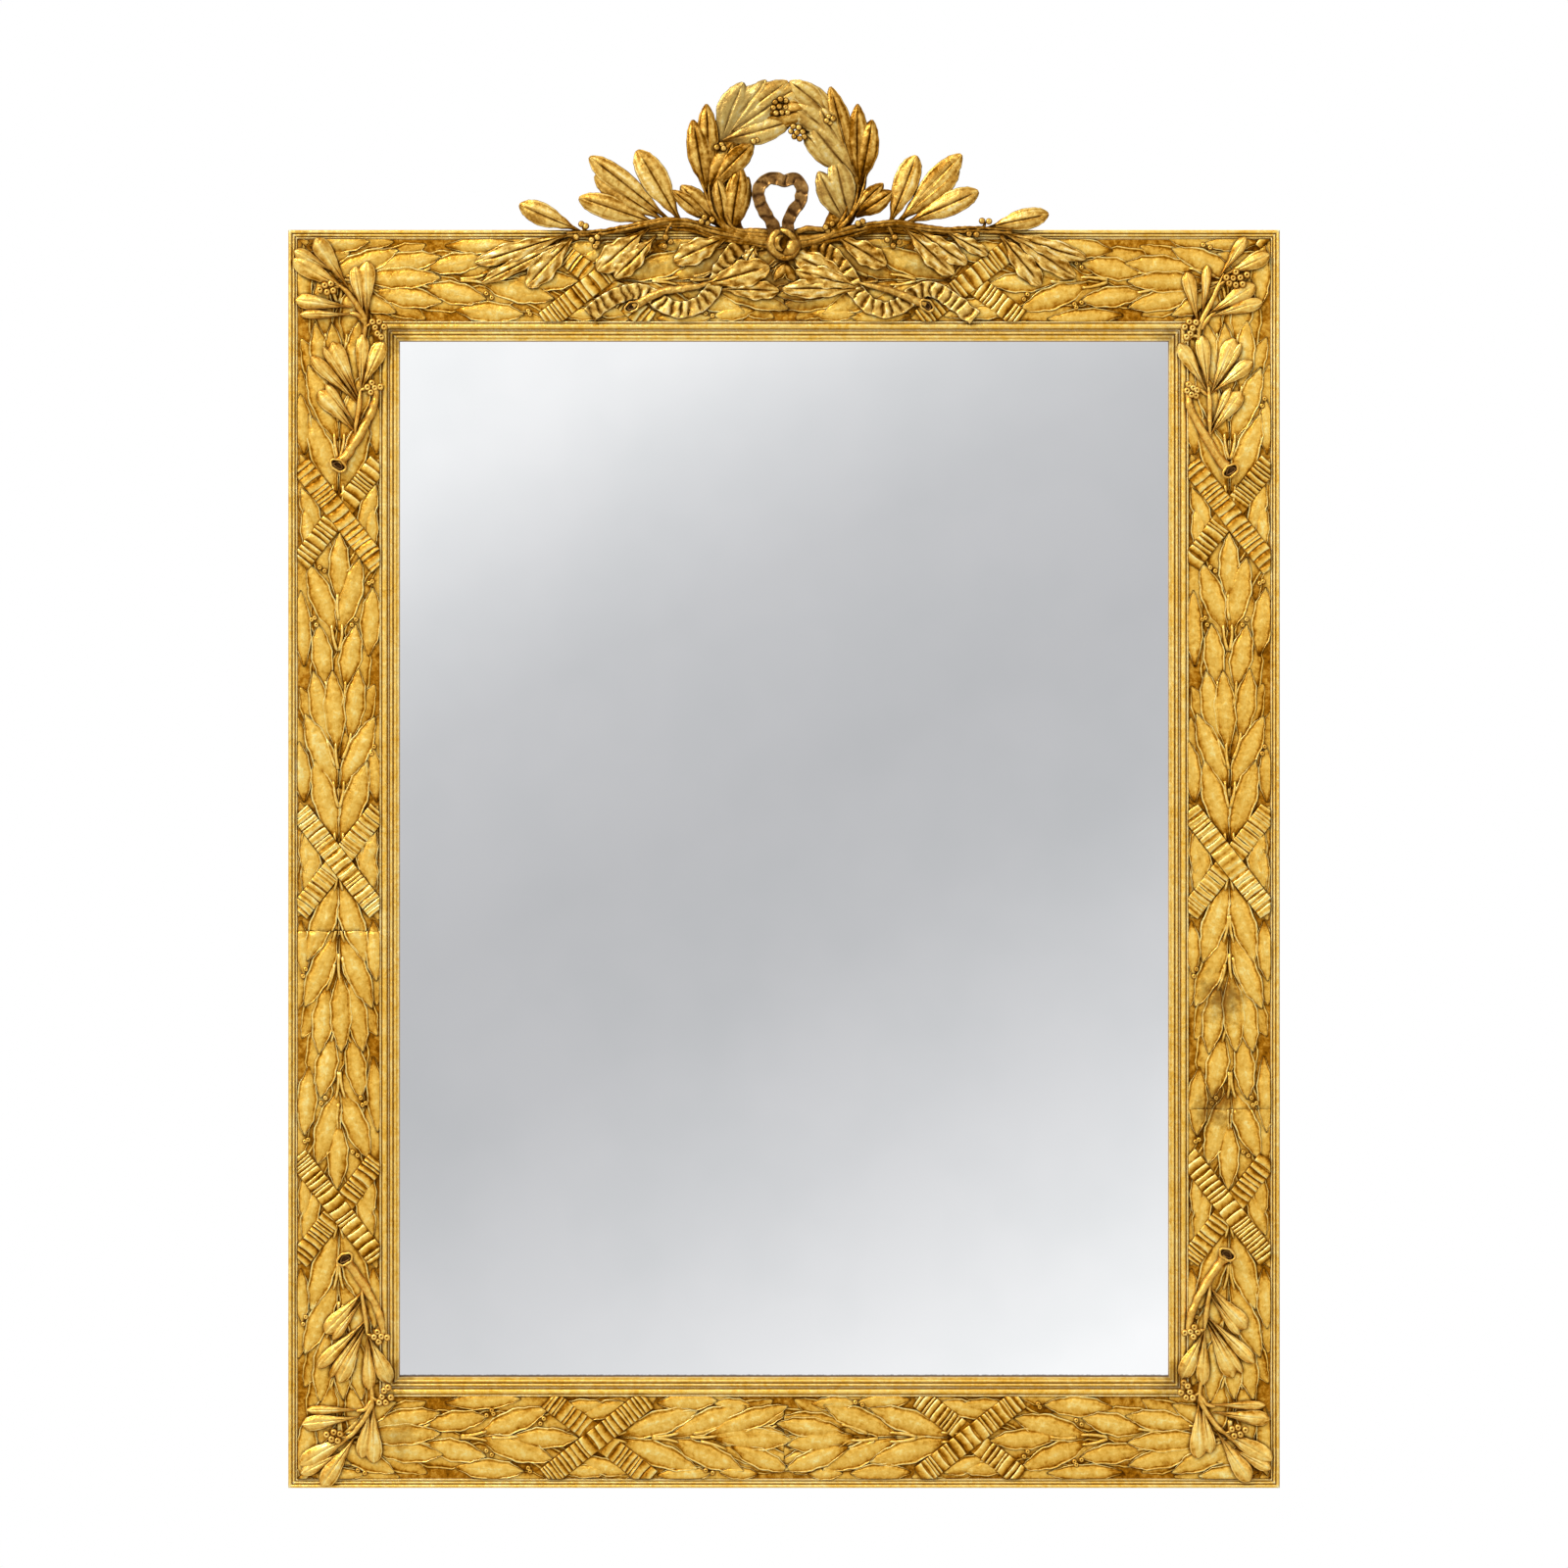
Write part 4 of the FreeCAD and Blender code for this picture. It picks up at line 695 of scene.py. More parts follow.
def gilding(name, colours, grime_and_shade_colour, grime_and_shade_share, hollow, grit=1.0, ridge=0.0, spots=PAINTED_SHADE_PATCHES):
    """hollow and ridge are the reach, in metres, of the searches for hollows, which are painted
    dark as dirt and shade, and for edges, which get a painted highlight.
    """
    finish, tree, shader, where = new_finish(name)
    cloud = grain(tree, where, 11.0, 3.0)
    mottle = grain(tree, where, 85.0, 5.0, 0.65)
    hammer = grain(tree, where, 240.0, 4.0, 0.6, 0.4)
    speck = grain(tree, where, 620.0, 3.0, 0.7)
    fine = grain(tree, where, 1500.0, 2.0)
    wear_and_shading, tone = [add(tree, "ShaderNodeAttribute", attribute_name=carried).outputs["Fac"]
                  for carried in ("wear_and_shading", "tone")]

    def uneven(value, reach, source=mottle, low=0.3):
        """The value, pushed up and down by a noise."""
        return sums(tree, "ADD", value, ranged(tree, source, low, 0.7, -reach, reach))

    # the value carries wear and painted light: painted highlights on crowns and folds, painted
    # shade in grooves and at the foot of walls
    value = uneven(ranged(tree, wear_and_shading, -1.0, 1.0, 0.10, 1.0), 0.13 * grit)
    value = uneven(value, 0.06, cloud, 0.35)
    value = uneven(value, 0.17 * grit, hammer)
    value = sums(tree, "SUBTRACT", value, ranged(tree, tone, 0.0, 1.0, 0.0, 0.35))
    # painted highlight: convex edges found by the inside search are made lighter
    if ridge:
        edge = ranged(tree, hollows(tree, ridge, True), 0.85, 0.40, 0.05, 0.40)
        value = sums(tree, "ADD", value, edge)
    base = ramped(tree, value, [(k / 4, paint(code)) for k, code in enumerate(colours)])
    cast = sums(tree, "MULTIPLY", ranged(tree, tone, 0.0, -1.0, 0.0, 0.75),
                ranged(tree, wear_and_shading, -1.0, -0.6, 0.1, 1.0))
    base = mixed(tree, cast, base, OLIVE)
    # painted shade: soft brown patches darken the gold round the listed places, mostly corners
    # and the ground under the crest
    for x, z, radius, strength in spots:
        gap = add(tree, "ShaderNodeVectorMath", {0: where, 1: (x * MM, -0.03, z * MM)},
                  operation="DISTANCE").outputs["Value"]
        painted_shade = ranged(tree, uneven(gap, radius * 0.45 * MM), radius * 0.3 * MM,
                        radius * 1.1 * MM, strength, 0.0)
        base = mixed(tree, painted_shade, base, PAINTED_SHADE_BROWN)
    base = mixed(tree, ranged(tree, speck, 0.62, 0.74, 0.0, 0.5), base, BOLE)
    # dark brown where Ambient Occlusion finds a hollow: partly dirt, partly painted shade
    grime_and_shade = ranged(tree, uneven(hollows(tree, hollow), 0.045), 0.90, 0.42, 0.0, grime_and_shade_share)
    dull = sums(tree, "MAXIMUM", grime_and_shade, ranged(tree, value, 0.42, 0.12, 0.0, 0.9))
    rough = sums(tree, "ADD", ranged(tree, mottle, 0.3, 0.7, 0.28, 0.44),
                 ranged(tree, dull, 0.0, 1.0, 0.0, 0.3))
    height = sums(tree, "ADD", hammer, ranged(tree, fine, 0.0, 1.0, 0.0, 0.18))
    feed(tree, shader, {
        "Base Color": mixed(tree, grime_and_shade, base, grime_and_shade_colour), "Specular IOR Level": 0.05,
        "Specular Tint": paint(LEAF_TINT), "Metallic": ranged(tree, dull, 0.0, 1.0, 0.78, 0.15),
        "Roughness": rough, "Normal": relief(tree, height, 0.55, 0.0012)})
    return finish


GOLD = gilding("gilding_bright", ("5E3200", "B07010", "E6AE42", "F9CC62", "FFEE9E"),
               "5A2E00", 1.0, 0.004)
MOULD_GOLD = gilding("gilding_moulding", ("7A4400", "D48E14", "F4C04C", "FFE086", "FFF2BC"),
                     "844A00", 0.9, 0.0034, 0.8, 0.0016)
BROWN_GOLD = gilding("gilding_rubbed", ("4A2E14", "74502A", "9A703A", "C2965A", "E8C88C"),
                     "38220E", 1.0, 0.007)
CARVED_GOLD = gilding("gilding_carved", ("442400", "8C580C", "CC9840", "F8D070", "FFEFB8"),
                      "3C1E00", 1.0, 0.011, spots=())
SPRAY_GOLD = gilding("gilding_spray", ("643802", "B67814", "EAB450", "FCD672", "FFECA4"),
                     "7C4604", 1.0, 0.0045)
print("gilded finishes", *[gold.name for gold in (GOLD, MOULD_GOLD, BROWN_GOLD, CARVED_GOLD,
                                                  SPRAY_GOLD)])

# %% [markdown]
# ## The garland strips
# Every strip is one plate with the garland on it. Leaves overlap like tiles, the earlier over
# the later. A low layer, which is the same leaves mirrored and moved along and painted darker
# as shade, shows between them. Short stalks join the middle leaves. Where the garland is tied,
# two pleated ribbons cross, one over the other. The rows are listed once for one bay and
# repeated. Where the two halves of a rail meet, ten leaves cover the joint.

# %% One bay, in thousandths: across the strip and along the bay, base then tip, and width
GARLAND = shares((
    (-30, 60, -330, 290, 280), (30, 60, 360, 290, 280), (-20, 210, -400, 425, 270),
    (30, 210, 410, 420, 270), (-130, 330, -310, 550, 250), (140, 350, 235, 555, 250),
    (-20, 320, -50, 550, 250), (-150, 500, -240, 685, 240), (80, 500, 235, 680, 260),
    (-50, 660, -360, 855, 270), (10, 660, 240, 875, 280), (0, 750, -10, 945, 240),
    (-420, 560, -460, 780, 200), (360, 590, 420, 790, 240), (-420, 170, -460, 345, 220),
    (460, 170, 440, 330, 180), (-240, -50, -440, 75, 200), (260, -60, 430, 85, 200),
    (-360, -120, -400, 30, 170), (400, -110, 410, 35, 160)))
GARLAND_BERRIES = shares((
    (160, 680), (210, 695), (-330, 695), (-270, 680), (-290, 700), (-170, 835), (-230, 845),
    (410, 805), (370, 800), (430, 330), (400, 310)))
PLEAT_WIDTHS, CROSSING_WIDTH = (0.6, 0.8, 1.0, 1.25, 1.7), 1.9
CROSSING_PLEAT, HIDDEN_PLEAT, PRESSED_PLEAT = 9, 10, 21
LEAF_SPARE, STALK_W = 28, 4.2
# LOW_SHADE is painted shade: the low layer is darker because it lies under the top leaves
LOW_SHIFT, LOW_LIFT, LOW_SHADE, LOW_HEIGHT = 0.085, -0.2, 0.42, 0.40
UNDER, OVER = (1, 2.3), (-1, 3.0)
print("one bay has", len(GARLAND), "leaves and", len(GARLAND_BERRIES), "berries")


def run_spot(run, across, along):
    """run: where the garland starts, and the way it grows, on the wall."""
    ox, oz, gx, gz = run
    return (ox + gz * across * FRIEZE_W + gx * along * BAY,
            oz - gx * across * FRIEZE_W + gz * along * BAY)


def strap(run, along, way, level, dice, rows):
    """Lays the pleats of one crossed ribbon; returns the plate that they lie on.

    The under ribbon has no pleats where the other hides them, and lower ones beside it.
    """
    over = way < 0
    slant = math.radians(RIBBON_ANGLE)
    grow = math.atan2(run[3], run[2]) - math.pi / 2 + way * slant
    dx, dz = math.cos(grow), math.sin(grow)
    cx, cz = run_spot(run, 0, along)
    reach = FRIEZE_W / math.sin(slant) / 2 + RIBBON_W / 2
    at = -reach
    while at < reach:
        crossing = over and abs(at) < CROSSING_PLEAT
        wide = CROSSING_WIDTH if crossing else dice.choice(PLEAT_WIDTHS)
        step = RIBBON_PITCH * wide
        middle = at + step / 2
        at += step
        if not over and abs(middle) < HIDDEN_PLEAT:
            continue
        flatter = 0.78 if over else 0.5 if abs(middle) < PRESSED_PLEAT else 1.1
        rise = dice.uniform(0.65, 1.2) * flatter
        # the pleats of the under ribbon may be painted darker than those over it, as shade
        stamp, tone = dice.choice(("pleat0", "pleat1")), dice.uniform(0.0, 0.15 if over else 0.3)
        rows.append((cx + dx * middle, PLATE_Y - level, cz + dz * middle, heading(-dz, dx),
                     (RIBBON_W * 0.96 * MM, step * 0.97 * MM, rise), stamp, tone))
    corners = [(cx + dx * a - dz * b * RIBBON_W / 2, cz + dz * a + dx * b * RIBBON_W / 2)
               for a, b in ((-reach, -1), (reach, -1), (reach, 1), (-reach, 1))]
    return prism(corners, PLATE_Y + 0.5, PLATE_Y - level, GOLD)


def garland(run, middle, half, seed):
    """Two bays of leaves, stalks, berries and crossed ribbons; what misses is left out."""
    dice = random.Random(seed)
    rows, straps = [], []

    def near(ends):
        return all(abs((ends[0][k] + ends[1][k]) / 2 - middle[k]) <= half[k] + LEAF_SPARE
                   for k in (0, 1))

    for bay in (0, 1):
        for order, (u0, s0, u1, s1, width) in enumerate(GARLAND):
            central = abs(u0 + u1) < 0.12
            top = run_spot(run, u0, s0 + bay), run_spot(run, u1, s1 + bay)
            low = (run_spot(run, -u0 * 1.05, s0 + bay + LOW_SHIFT),
                   run_spot(run, -u1 * 1.1, s1 + bay + LOW_SHIFT))
            if near(top):
                lift = 0.55 if central else 0.1 * (order % 3) - 0.2
                rows.append(leaf_row(*top, width * FRIEZE_W * 1.1, PLATE_Y - lift,
                                     "pressed%d" % ((order + bay) % 3), 0.0,
                                     0.93 if central else 0.98))
                if abs(u0) < 0.2:
                    root = run_spot(run, u0 * 0.35, s0 + bay - 0.055)
                    neck = run_spot(run, u0 + 0.10 * (u1 - u0), s0 + bay + 0.10 * (s1 - s0))
                    bend = u1 * run[3] - u1 * run[2] > 0
                    rows.append(leaf_row(root, neck, STALK_W, PLATE_Y - 1.0,
                                         "stalk%d" % bend, 0.0, 1.0))
            if near(low):
                rows.append(leaf_row(*low, width * FRIEZE_W * 1.15, PLATE_Y - LOW_LIFT,
                                     "pressed%d" % ((order + bay + 1) % 3), LOW_SHADE,
                                     LOW_HEIGHT))
        rows += [berry_row(run_spot(run, u, s + bay), STRIP_BERRY_R, PLATE_Y - 1.2, 0.1)
                 for u, s in GARLAND_BERRIES]
        straps += [strap(run, bay, way, level, dice, rows) for way, level in (UNDER, OVER)]
    return [laid(rows, GOLD, 0.04, seed)] + straps


# x and distance out from the middle of the rail, base then tip, and width, all in mm
MIDDLE_LEAVES = (
    (-70, 2, 9, 1, 24), (71, -1, 2, 7, 24), (62, -6, -8, -15, 22), (-78, -3, 5, -31, 22),
    (-54, 9, 5, 34, 21), (66, 9, 0, 33, 22), (-30, -30, -72, -36, 16), (28, -34, 74, -35, 16),
    (-26, 37, -66, 35, 14), (24, 37, 60, 36, 14))


def middle_leaves(end):
    rows = []
    for k, (x0, out0, x1, out1, width) in enumerate(MIDDLE_LEAVES):
        base, tip = [(x, end * (FRIEZE_MID_Z + out)) for x, out in ((x0, out0), (x1, out1))]
        lift = 0.9 + 0.3 * (k % 3) if k < 6 else -0.3
        rows.append(leaf_row(base, tip, width, PLATE_Y - lift, "pressed%d" % (k % 3), 0.0, 0.95))
    return laid(rows, GOLD, 0.02, 3)


def strip(name, corners, runs, seed, over=()):
    """The garland of one strip, sawn along its outline, on its plate."""
    xs, zs = [c[0] for c in corners], [c[1] for c in corners]
    middle = ((min(xs) + max(xs)) / 2, (min(zs) + max(zs)) / 2)
    half = ((max(xs) - min(xs)) / 2, (max(zs) - min(zs)) / 2)
    meshes = [mesh for run in runs for mesh in garland(run, middle, half, seed)]
    centre = (sum(xs) / 4, sum(zs) / 4)
    planes = []
    for (ax, az), (bx, bz) in zip(corners, corners[1:] + corners[:1]):
        nx, nz = bz - az, ax - bx
        if nx * (centre[0] - ax) + nz * (centre[1] - az) > 0:
            nx, nz = -nx, -nz
        planes.append(((ax, az), (nx, nz)))
    uncut = joined("uncut", meshes)
    sawn = trimmed(uncut.data.copy(), planes)
    bpy.data.objects.remove(uncut)
    hang(name, [sawn, prism(corners, FACE_Y, PLATE_Y, GOLD), *over])


# %% The eight strips
OUT_X, OUT_Z = HALF_W - OUTER_MOULD_W, HALF_H - OUTER_MOULD_W
IN_X, IN_Z = OUT_X - FRIEZE_W, OUT_Z - FRIEZE_W


def rail_strip(name, side, end, seed):
    corners = [(0, end * OUT_Z), (side * OUT_X, end * OUT_Z), (side * IN_X, end * IN_Z),
               (0, end * IN_Z)]
    run = (side * (RAIL_CROSS_X + BAY), end * FRIEZE_MID_Z, -side, 0)
    strip(name, corners, [run], seed, [middle_leaves(end)] if side < 0 else ())


def stile_strip(name, side, end, seam, seed):
    corners = [(side * OUT_X, seam), (side * OUT_X, end * OUT_Z), (side * IN_X, end * IN_Z),
               (side * IN_X, seam)]
    ways = (end, -end) if (seam + GARLAND_DROP) * end < 0 else (end,)
    strip(name, corners, [(side * FRIEZE_MID_X, -GARLAND_DROP, 0, way) for way in ways], seed)


rail_strip("frieze_top_left", -1, 1, 1)
rail_strip("frieze_top_right", 1, 1, 2)
rail_strip("frieze_bottom_left", -1, -1, 3)
rail_strip("frieze_bottom_right", 1, -1, 4)
stile_strip("frieze_left_upper", -1, 1, LEFT_SEAM_Z, 5)
stile_strip("frieze_left_lower", -1, -1, LEFT_SEAM_Z, 6)
stile_strip("frieze_right_upper", 1, 1, RIGHT_SEAM_Z, 7)
stile_strip("frieze_right_lower", 1, -1, RIGHT_SEAM_Z, 8)

# %% [markdown]
# ## The corner sprays
# Each corner carries a laurel branch with a sawn end, two tufts of leaves and three clusters
# of berries. Three came from one mould and were turned to their corners; the two at the
# bottom were set a little off their places. The top right one settled differently, so it has
# its own list.

# %% Spray tables, in thousandths of the border, from the glass's corner
SPRAY = shares(dict(
    leaves=(
        (460, 480, 750, 920, 160), (430, 430, 950, 730, 170), (580, 620, 940, 810, 110),
        (420, 300, 930, 365, 135), (380, 235, 890, 235, 80), (320, 200, 395, 665, 125),
        (290, 180, 285, 710, 150), (345, -480, 325, 50, 120), (345, -460, 140, -10, 150),
        (370, -500, 600, -20, 150), (370, -540, 680, -60, 80), (365, -570, 790, -150, 120),
        (390, -830, 720, -460, 150), (390, -760, 655, -400, 80)),
    stems=(
        (((310, 20), (300, 160), (340, 260), (420, 380), (500, 470), (600, 515)), 25),
        (((300, 140), (360, 225), (440, 245)), 20),
        (((345, -450), (360, -600), (385, -760), (390, -860)), 22),
        (((300, 120), (235, 160), (175, 165), (130, 120)), 14),
        (((225, 165), (205, 100), (155, 35)), 14), (((540, 480), (630, 470), (720, 455)), 14),
        (((345, -450), (280, -430), (190, -420)), 14)),
    branch=(
        (200, -430), (215, -550), (250, -660), (310, -780), (400, -930), (475, -1040),
        (530, -1110)),
    berries=(
        (710, 455), (665, 495), (610, 510), (645, 435), (590, 450), (235, 165), (175, 165),
        (210, 115), (130, 120), (190, 60), (155, 30), (280, -425), (240, -385), (215, -430),
        (250, -470), (165, -420)),
    cut=(545, -1130, 86, 55)))
SLIPPED_SPRAY = shares(dict(
    leaves=(
        (460, 580, 690, 930, 105), (480, 580, 900, 775, 150), (345, 235, 770, 500, 155),
        (345, 210, 840, 350, 120), (260, 150, 160, 615, 120), (300, 190, 345, 675, 85),
        (345, -460, 90, -30, 130), (355, -460, 290, 40, 130), (380, -475, 585, 15, 150),
        (385, -470, 645, -30, 80), (390, -470, 745, -190, 130), (370, -850, 645, -465, 150),
        (370, -800, 550, -430, 80)),
    stems=(
        (((270, -20), (265, 100), (310, 210), (380, 350), (440, 480), (490, 600)), 25),
        (((290, 100), (350, 200), (420, 255)), 18),
        (((355, -420), (365, -580), (365, -740), (370, -880)), 22),
        (((270, 80), (220, 120), (170, 120)), 14), (((265, 30), (210, 40), (140, -20)), 14),
        (((450, 500), (520, 540), (620, 550)), 13),
        (((350, -500), (280, -450), (200, -450)), 14)),
    branch=(
        (170, -460), (175, -550), (205, -650), (290, -800), (370, -940), (450, -1070),
        (510, -1140)),
    berries=(
        (540, 515), (600, 500), (660, 505), (515, 565), (575, 560), (640, 565), (700, 590),
        (600, 615), (240, 160), (180, 165), (210, 110), (140, 120), (190, 60), (155, 30),
        (175, -400), (215, -430), (160, -455), (200, -490), (250, -450), (240, -500)),
    cut=(550, -1180, 88, 55)))
print("spray leaves", len(SPRAY["leaves"]), "and", len(SLIPPED_SPRAY["leaves"]))


def cut_face(place, long_r, short_r, degrees, y, finish):
    """A sawn branch end: a raised ring, a sunk floor and the curl of the heartwood."""
    turn = math.radians(degrees)

    def ring(count, share, wobble, beat, depth):
        points = []
        for k in range(count):
            size, angle = share + wobble * math.sin(beat * k), 2 * math.pi * k / count
            a, b = long_r * size * math.cos(angle), short_r * size * math.sin(angle)
            points.append((place[0] + a * math.cos(turn) - b * math.sin(turn), y + depth,
                           place[1] + a * math.sin(turn) + b * math.cos(turn)))
        return points

    rim, thick = ring(12, 0.86, 0.05, 2.6, 1.4), short_r * 0.2
    # the sunk floor gets -1, painted fully dark: painted shade in the hollow
    floor = prism([(p[0], p[2]) for p in rim], FRONT_Y + 0.3, y + 3.6, BROWN_GOLD, -1.0)
    heart = ring(9, 0.50, 0.08, 4.1, 3.0)
    return [swept(rim, (thick,), finish, 0.9, 0.05, closed=True),
            swept(heart, (thick * 0.8,), BROWN_GOLD, 1.4, 0.5, closed=True), floor]


def spray(name, side, end, seed, lists, lean, slip=(0, 0)):
    """side and end choose the corner; lean is the turn of the sawn end, in degrees."""
    dice = random.Random(seed)

    def spot(place):
        return (side * (SIGHT_X + (place[0] + slip[0]) * SECTION_W),
                end * (SIGHT_Z + (place[1] + slip[1]) * SECTION_W))

    def twig(line, r, proud, thickness, rough):
        path = [(x, FRONT_Y - proud + r, z) for x, z in map(spot, line)]
        return swept(path, [r * share for share in thickness], SPRAY_GOLD, rough, sides=9)

    rows = []
    for order, (a0, b0, a1, b1, width) in enumerate(lists["leaves"]):
        tone, height = dice.uniform(0.0, 0.15), dice.uniform(0.86, 1.0)
        rows.append(leaf_row(spot((a0, b0)), spot((a1, b1)), width * SECTION_W * 1.06,
                             FRONT_Y + 0.4, "spoon%d" % ((order + seed) % 3), tone, height))
    rows += [berry_row(spot(place), SPRAY_BERRY_R, FRONT_Y - dice.uniform(3.0, 4.6), 0.1)
             for place in lists["berries"]]
    meshes = [laid(rows, SPRAY_GOLD, 0.0, seed)]
    meshes += [twig(line, share * SECTION_W, 5.0, (0.5, 1.1, 1, 0.9, 0.35), 2.2)
               for line, share in lists["stems"]]
    meshes.append(twig(lists["branch"], 0.044 * SECTION_W, 8.0,
                       (0.5, 0.8, 0.75, 0.95, 0.85, 1.1), 5.0))
    a, b, long_share, short_share = lists["cut"]
    meshes += cut_face(spot((a, b)), long_share * SECTION_W, short_share * SECTION_W,
                       side * end * lean, FRONT_Y - 10.0, SPRAY_GOLD)
    hang(name, meshes)


spray("spray_top_left", -1, 1, 11, SPRAY, 30)
spray("spray_top_right", 1, 1, 12, SLIPPED_SPRAY, 38)
spray("spray_bottom_left", -1, -1, 13, SPRAY, 30, (-0.06, 0.058))
spray("spray_bottom_right", 1, -1, 14, SPRAY, 30, (-0.025, 0.015))

# %% [markdown]
# ## The crest
# Two laurel branches lie along the top rail, two sprigs cross below them, a wreath stands up
# behind, and a ribbon holds it all in a rolled knot with a loop above and two tails. The
# leaves above the rail are smooth with a groove painted dark as shade, and those that hang down
# are wavy. Low strands, painted darker as shade, run under the branches and round the foot of
# the wreath, where many stalks come together.

# %% Crest tables, in thousandths of the crest's half span, from the middle of the rail's top
BRANCH_LEFT = shares(dict(
    leaves=(
        (-770, -5, -1000, 95, 85), (-470, 20, -775, 120, 90), (-430, 35, -735, 275, 90),
        (-450, 30, -715, 205, 95), (-385, 20, -555, 300, 105), (-800, -15, -1165, -125, 70),
        (-800, -30, -1140, -200, 55), (-790, -20, -970, -215, 90), (-515, 5, -705, -155, 95),
        (-480, -20, -640, -180, 80), (-200, -20, -415, -120, 90)),
    stem=(
        (-50, -35), (-130, -30), (-270, 0), (-340, 25), (-420, 35), (-500, 25), (-600, 5),
        (-700, -10), (-820, -15)),
    twigs=(
        ((-690, -10), (-715, -30), (-715, -65)), ((-420, 30), (-445, -10), (-445, -65)),
        ((-730, -12), (-755, 0), (-760, 16)), ((-760, -10), (-780, -20), (-785, -30))),
    berries=(
        (-765, 20), (-748, 12), (-785, -28), (-727, -40), (-705, -30), (-713, -63), (-447, -30),
        (-428, -47), (-450, -63), (-312, 29), (-289, 25), (-272, 37), (-300, 45), (-705, -52))))
BRANCH_RIGHT = shares(dict(
    leaves=(
        (760, 5, 1000, 60, 80), (450, 20, 735, 145, 90), (430, 20, 670, 285, 90),
        (420, 20, 660, 235, 95), (395, 10, 500, 280, 95), (450, 10, 640, -170, 80),
        (480, 10, 690, -130, 70), (810, -10, 970, -210, 80), (840, -10, 1100, -180, 75),
        (800, -5, 1140, -110, 65), (600, 0, 770, -95, 50), (190, -20, 385, -135, 85)),
    stem=(
        (50, -40), (130, -30), (250, 0), (330, 15), (440, 22), (520, 10), (620, -2), (720, 0),
        (860, -10)),
    twigs=(
        ((390, 20), (410, -20), (410, -60)), ((730, 0), (755, 12), (760, 30)),
        ((690, 0), (710, -10), (715, -20))),
    berries=(
        (748, 32), (774, 30), (700, -17), (727, -20), (390, -40), (413, -60), (418, -30),
        (435, -48), (297, 30), (280, 22))))
SPRIG_LEFT = shares(dict(
    leaves=(
        (-310, -210, -55, -140, 100), (-250, -225, -20, -232, 70), (-100, -50, -145, -130, 50),
        (15, -120, -40, -195, 45)),
    stem=(
        (-260, -190), (-330, -215), (-400, -225), (-460, -235), (-520, -262), (-570, -290)),
    cut=(-575, -293, 32, 20)))
SPRIG_RIGHT = shares(dict(
    leaves=(
        (300, -220, 45, -155, 80), (320, -222, -5, -225, 70), (280, -205, 35, -95, 85),
        (0, -125, 45, -200, 45)),
    stem=(
        (280, -200), (360, -220), (420, -238), (480, -262), (535, -285)),
    cut=(540, -288, 32, 22)))
WREATH_LEFT = shares(dict(
    leaves=(
        (-295, 150, -345, 415, 85), (-285, 200, -293, 475, 80), (-240, 330, -155, 557, 115),
        (-225, 340, -85, 550, 120), (-230, 335, 30, 410, 100), (-170, 420, 15, 560, 100),
        (-150, 440, -68, 566, 65), (-285, 140, -195, 330, 100), (-270, 170, -115, 330, 85),
        (-200, -20, -165, 240, 90), (-215, -10, -255, 200, 60), (-250, 20, -390, 167, 85),
        (-270, 30, -425, 148, 60), (-210, 360, -30, 485, 110), (-80, 455, 75, 548, 85),
        (-185, 0, -135, 200, 60), (-110, 420, 100, 455, 100)),
    stem=(
        (-190, -20), (-222, 50), (-243, 110), (-258, 180), (-250, 240), (-220, 310),
        (-170, 370), (-110, 420), (-40, 450), (20, 455)),
    strands=(
        ((-320, 200), (-290, 120), (-260, 50), (-205, -10), (-120, -30), (-30, -40)),
        ((-285, 170), (-280, 110), (-255, 40), (-190, -15), (-100, -45), (-30, -50)),
        ((-255, 170), (-260, 110), (-225, 20), (-160, -15), (-90, -20), (-20, -30)),
        ((-225, 130), (-225, 70), (-190, 5), (-120, -5), (-60, -8), (-10, -20))),
    berries=(
        (-33, 480), (-13, 492), (7, 486), (-40, 459), (-18, 464), (6, 462), (-30, 439),
        (-8, 442), (14, 441), (-254, 310), (-236, 320), (-228, 306), (-115, 333), (-102, 337))))
WREATH_RIGHT = shares(dict(
    leaves=(
        (290, 170, 333, 415, 85), (280, 200, 278, 475, 75), (260, 220, 175, 540, 85),
        (190, 380, 55, 557, 110), (190, 360, 35, 475, 100), (270, 200, 95, 400, 115),
        (220, 220, 75, 365, 80), (230, 30, 130, 220, 90), (250, 40, 190, 270, 100),
        (270, 50, 410, 145, 75), (270, 70, 375, 175, 60), (150, 400, 0, 455, 110),
        (170, 440, 20, 560, 90), (240, 280, 130, 470, 90)),
    stem=(
        (180, -20), (215, 50), (240, 110), (258, 180), (250, 240), (225, 310), (175, 365),
        (120, 410), (50, 447), (0, 455)),
    strands=(
        ((310, 210), (290, 120), (250, 50), (190, -10), (110, -45), (30, -55)),
        ((280, 170), (270, 100), (235, 30), (160, -20), (90, -30), (20, -35)),
        ((235, 160), (240, 90), (200, 10), (140, 0), (90, 4), (50, -8), (10, -20))),
    berries=(
        (35, 388), (56, 384), (27, 371), (49, 364), (70, 368), (39, 351), (59, 342), (76, 350),
        (170, 426), (186, 418), (174, 403), (161, 410), (182, 21), (166, -6), (157, 8))))
TAIL_LEFT = shares((
    (-30, -50), (-120, -50), (-190, -85), (-235, -150), (-265, -220), (-315, -280),
    (-385, -303), (-450, -285), (-500, -250), (-560, -235), (-630, -250), (-690, -285),
    (-735, -322)))
TAIL_RIGHT = shares((
    (30, -50), (110, -65), (180, -95), (235, -160), (275, -235), (325, -285), (390, -303),
    (450, -280), (500, -240), (555, -225), (610, -250), (665, -290), (720, -335)))
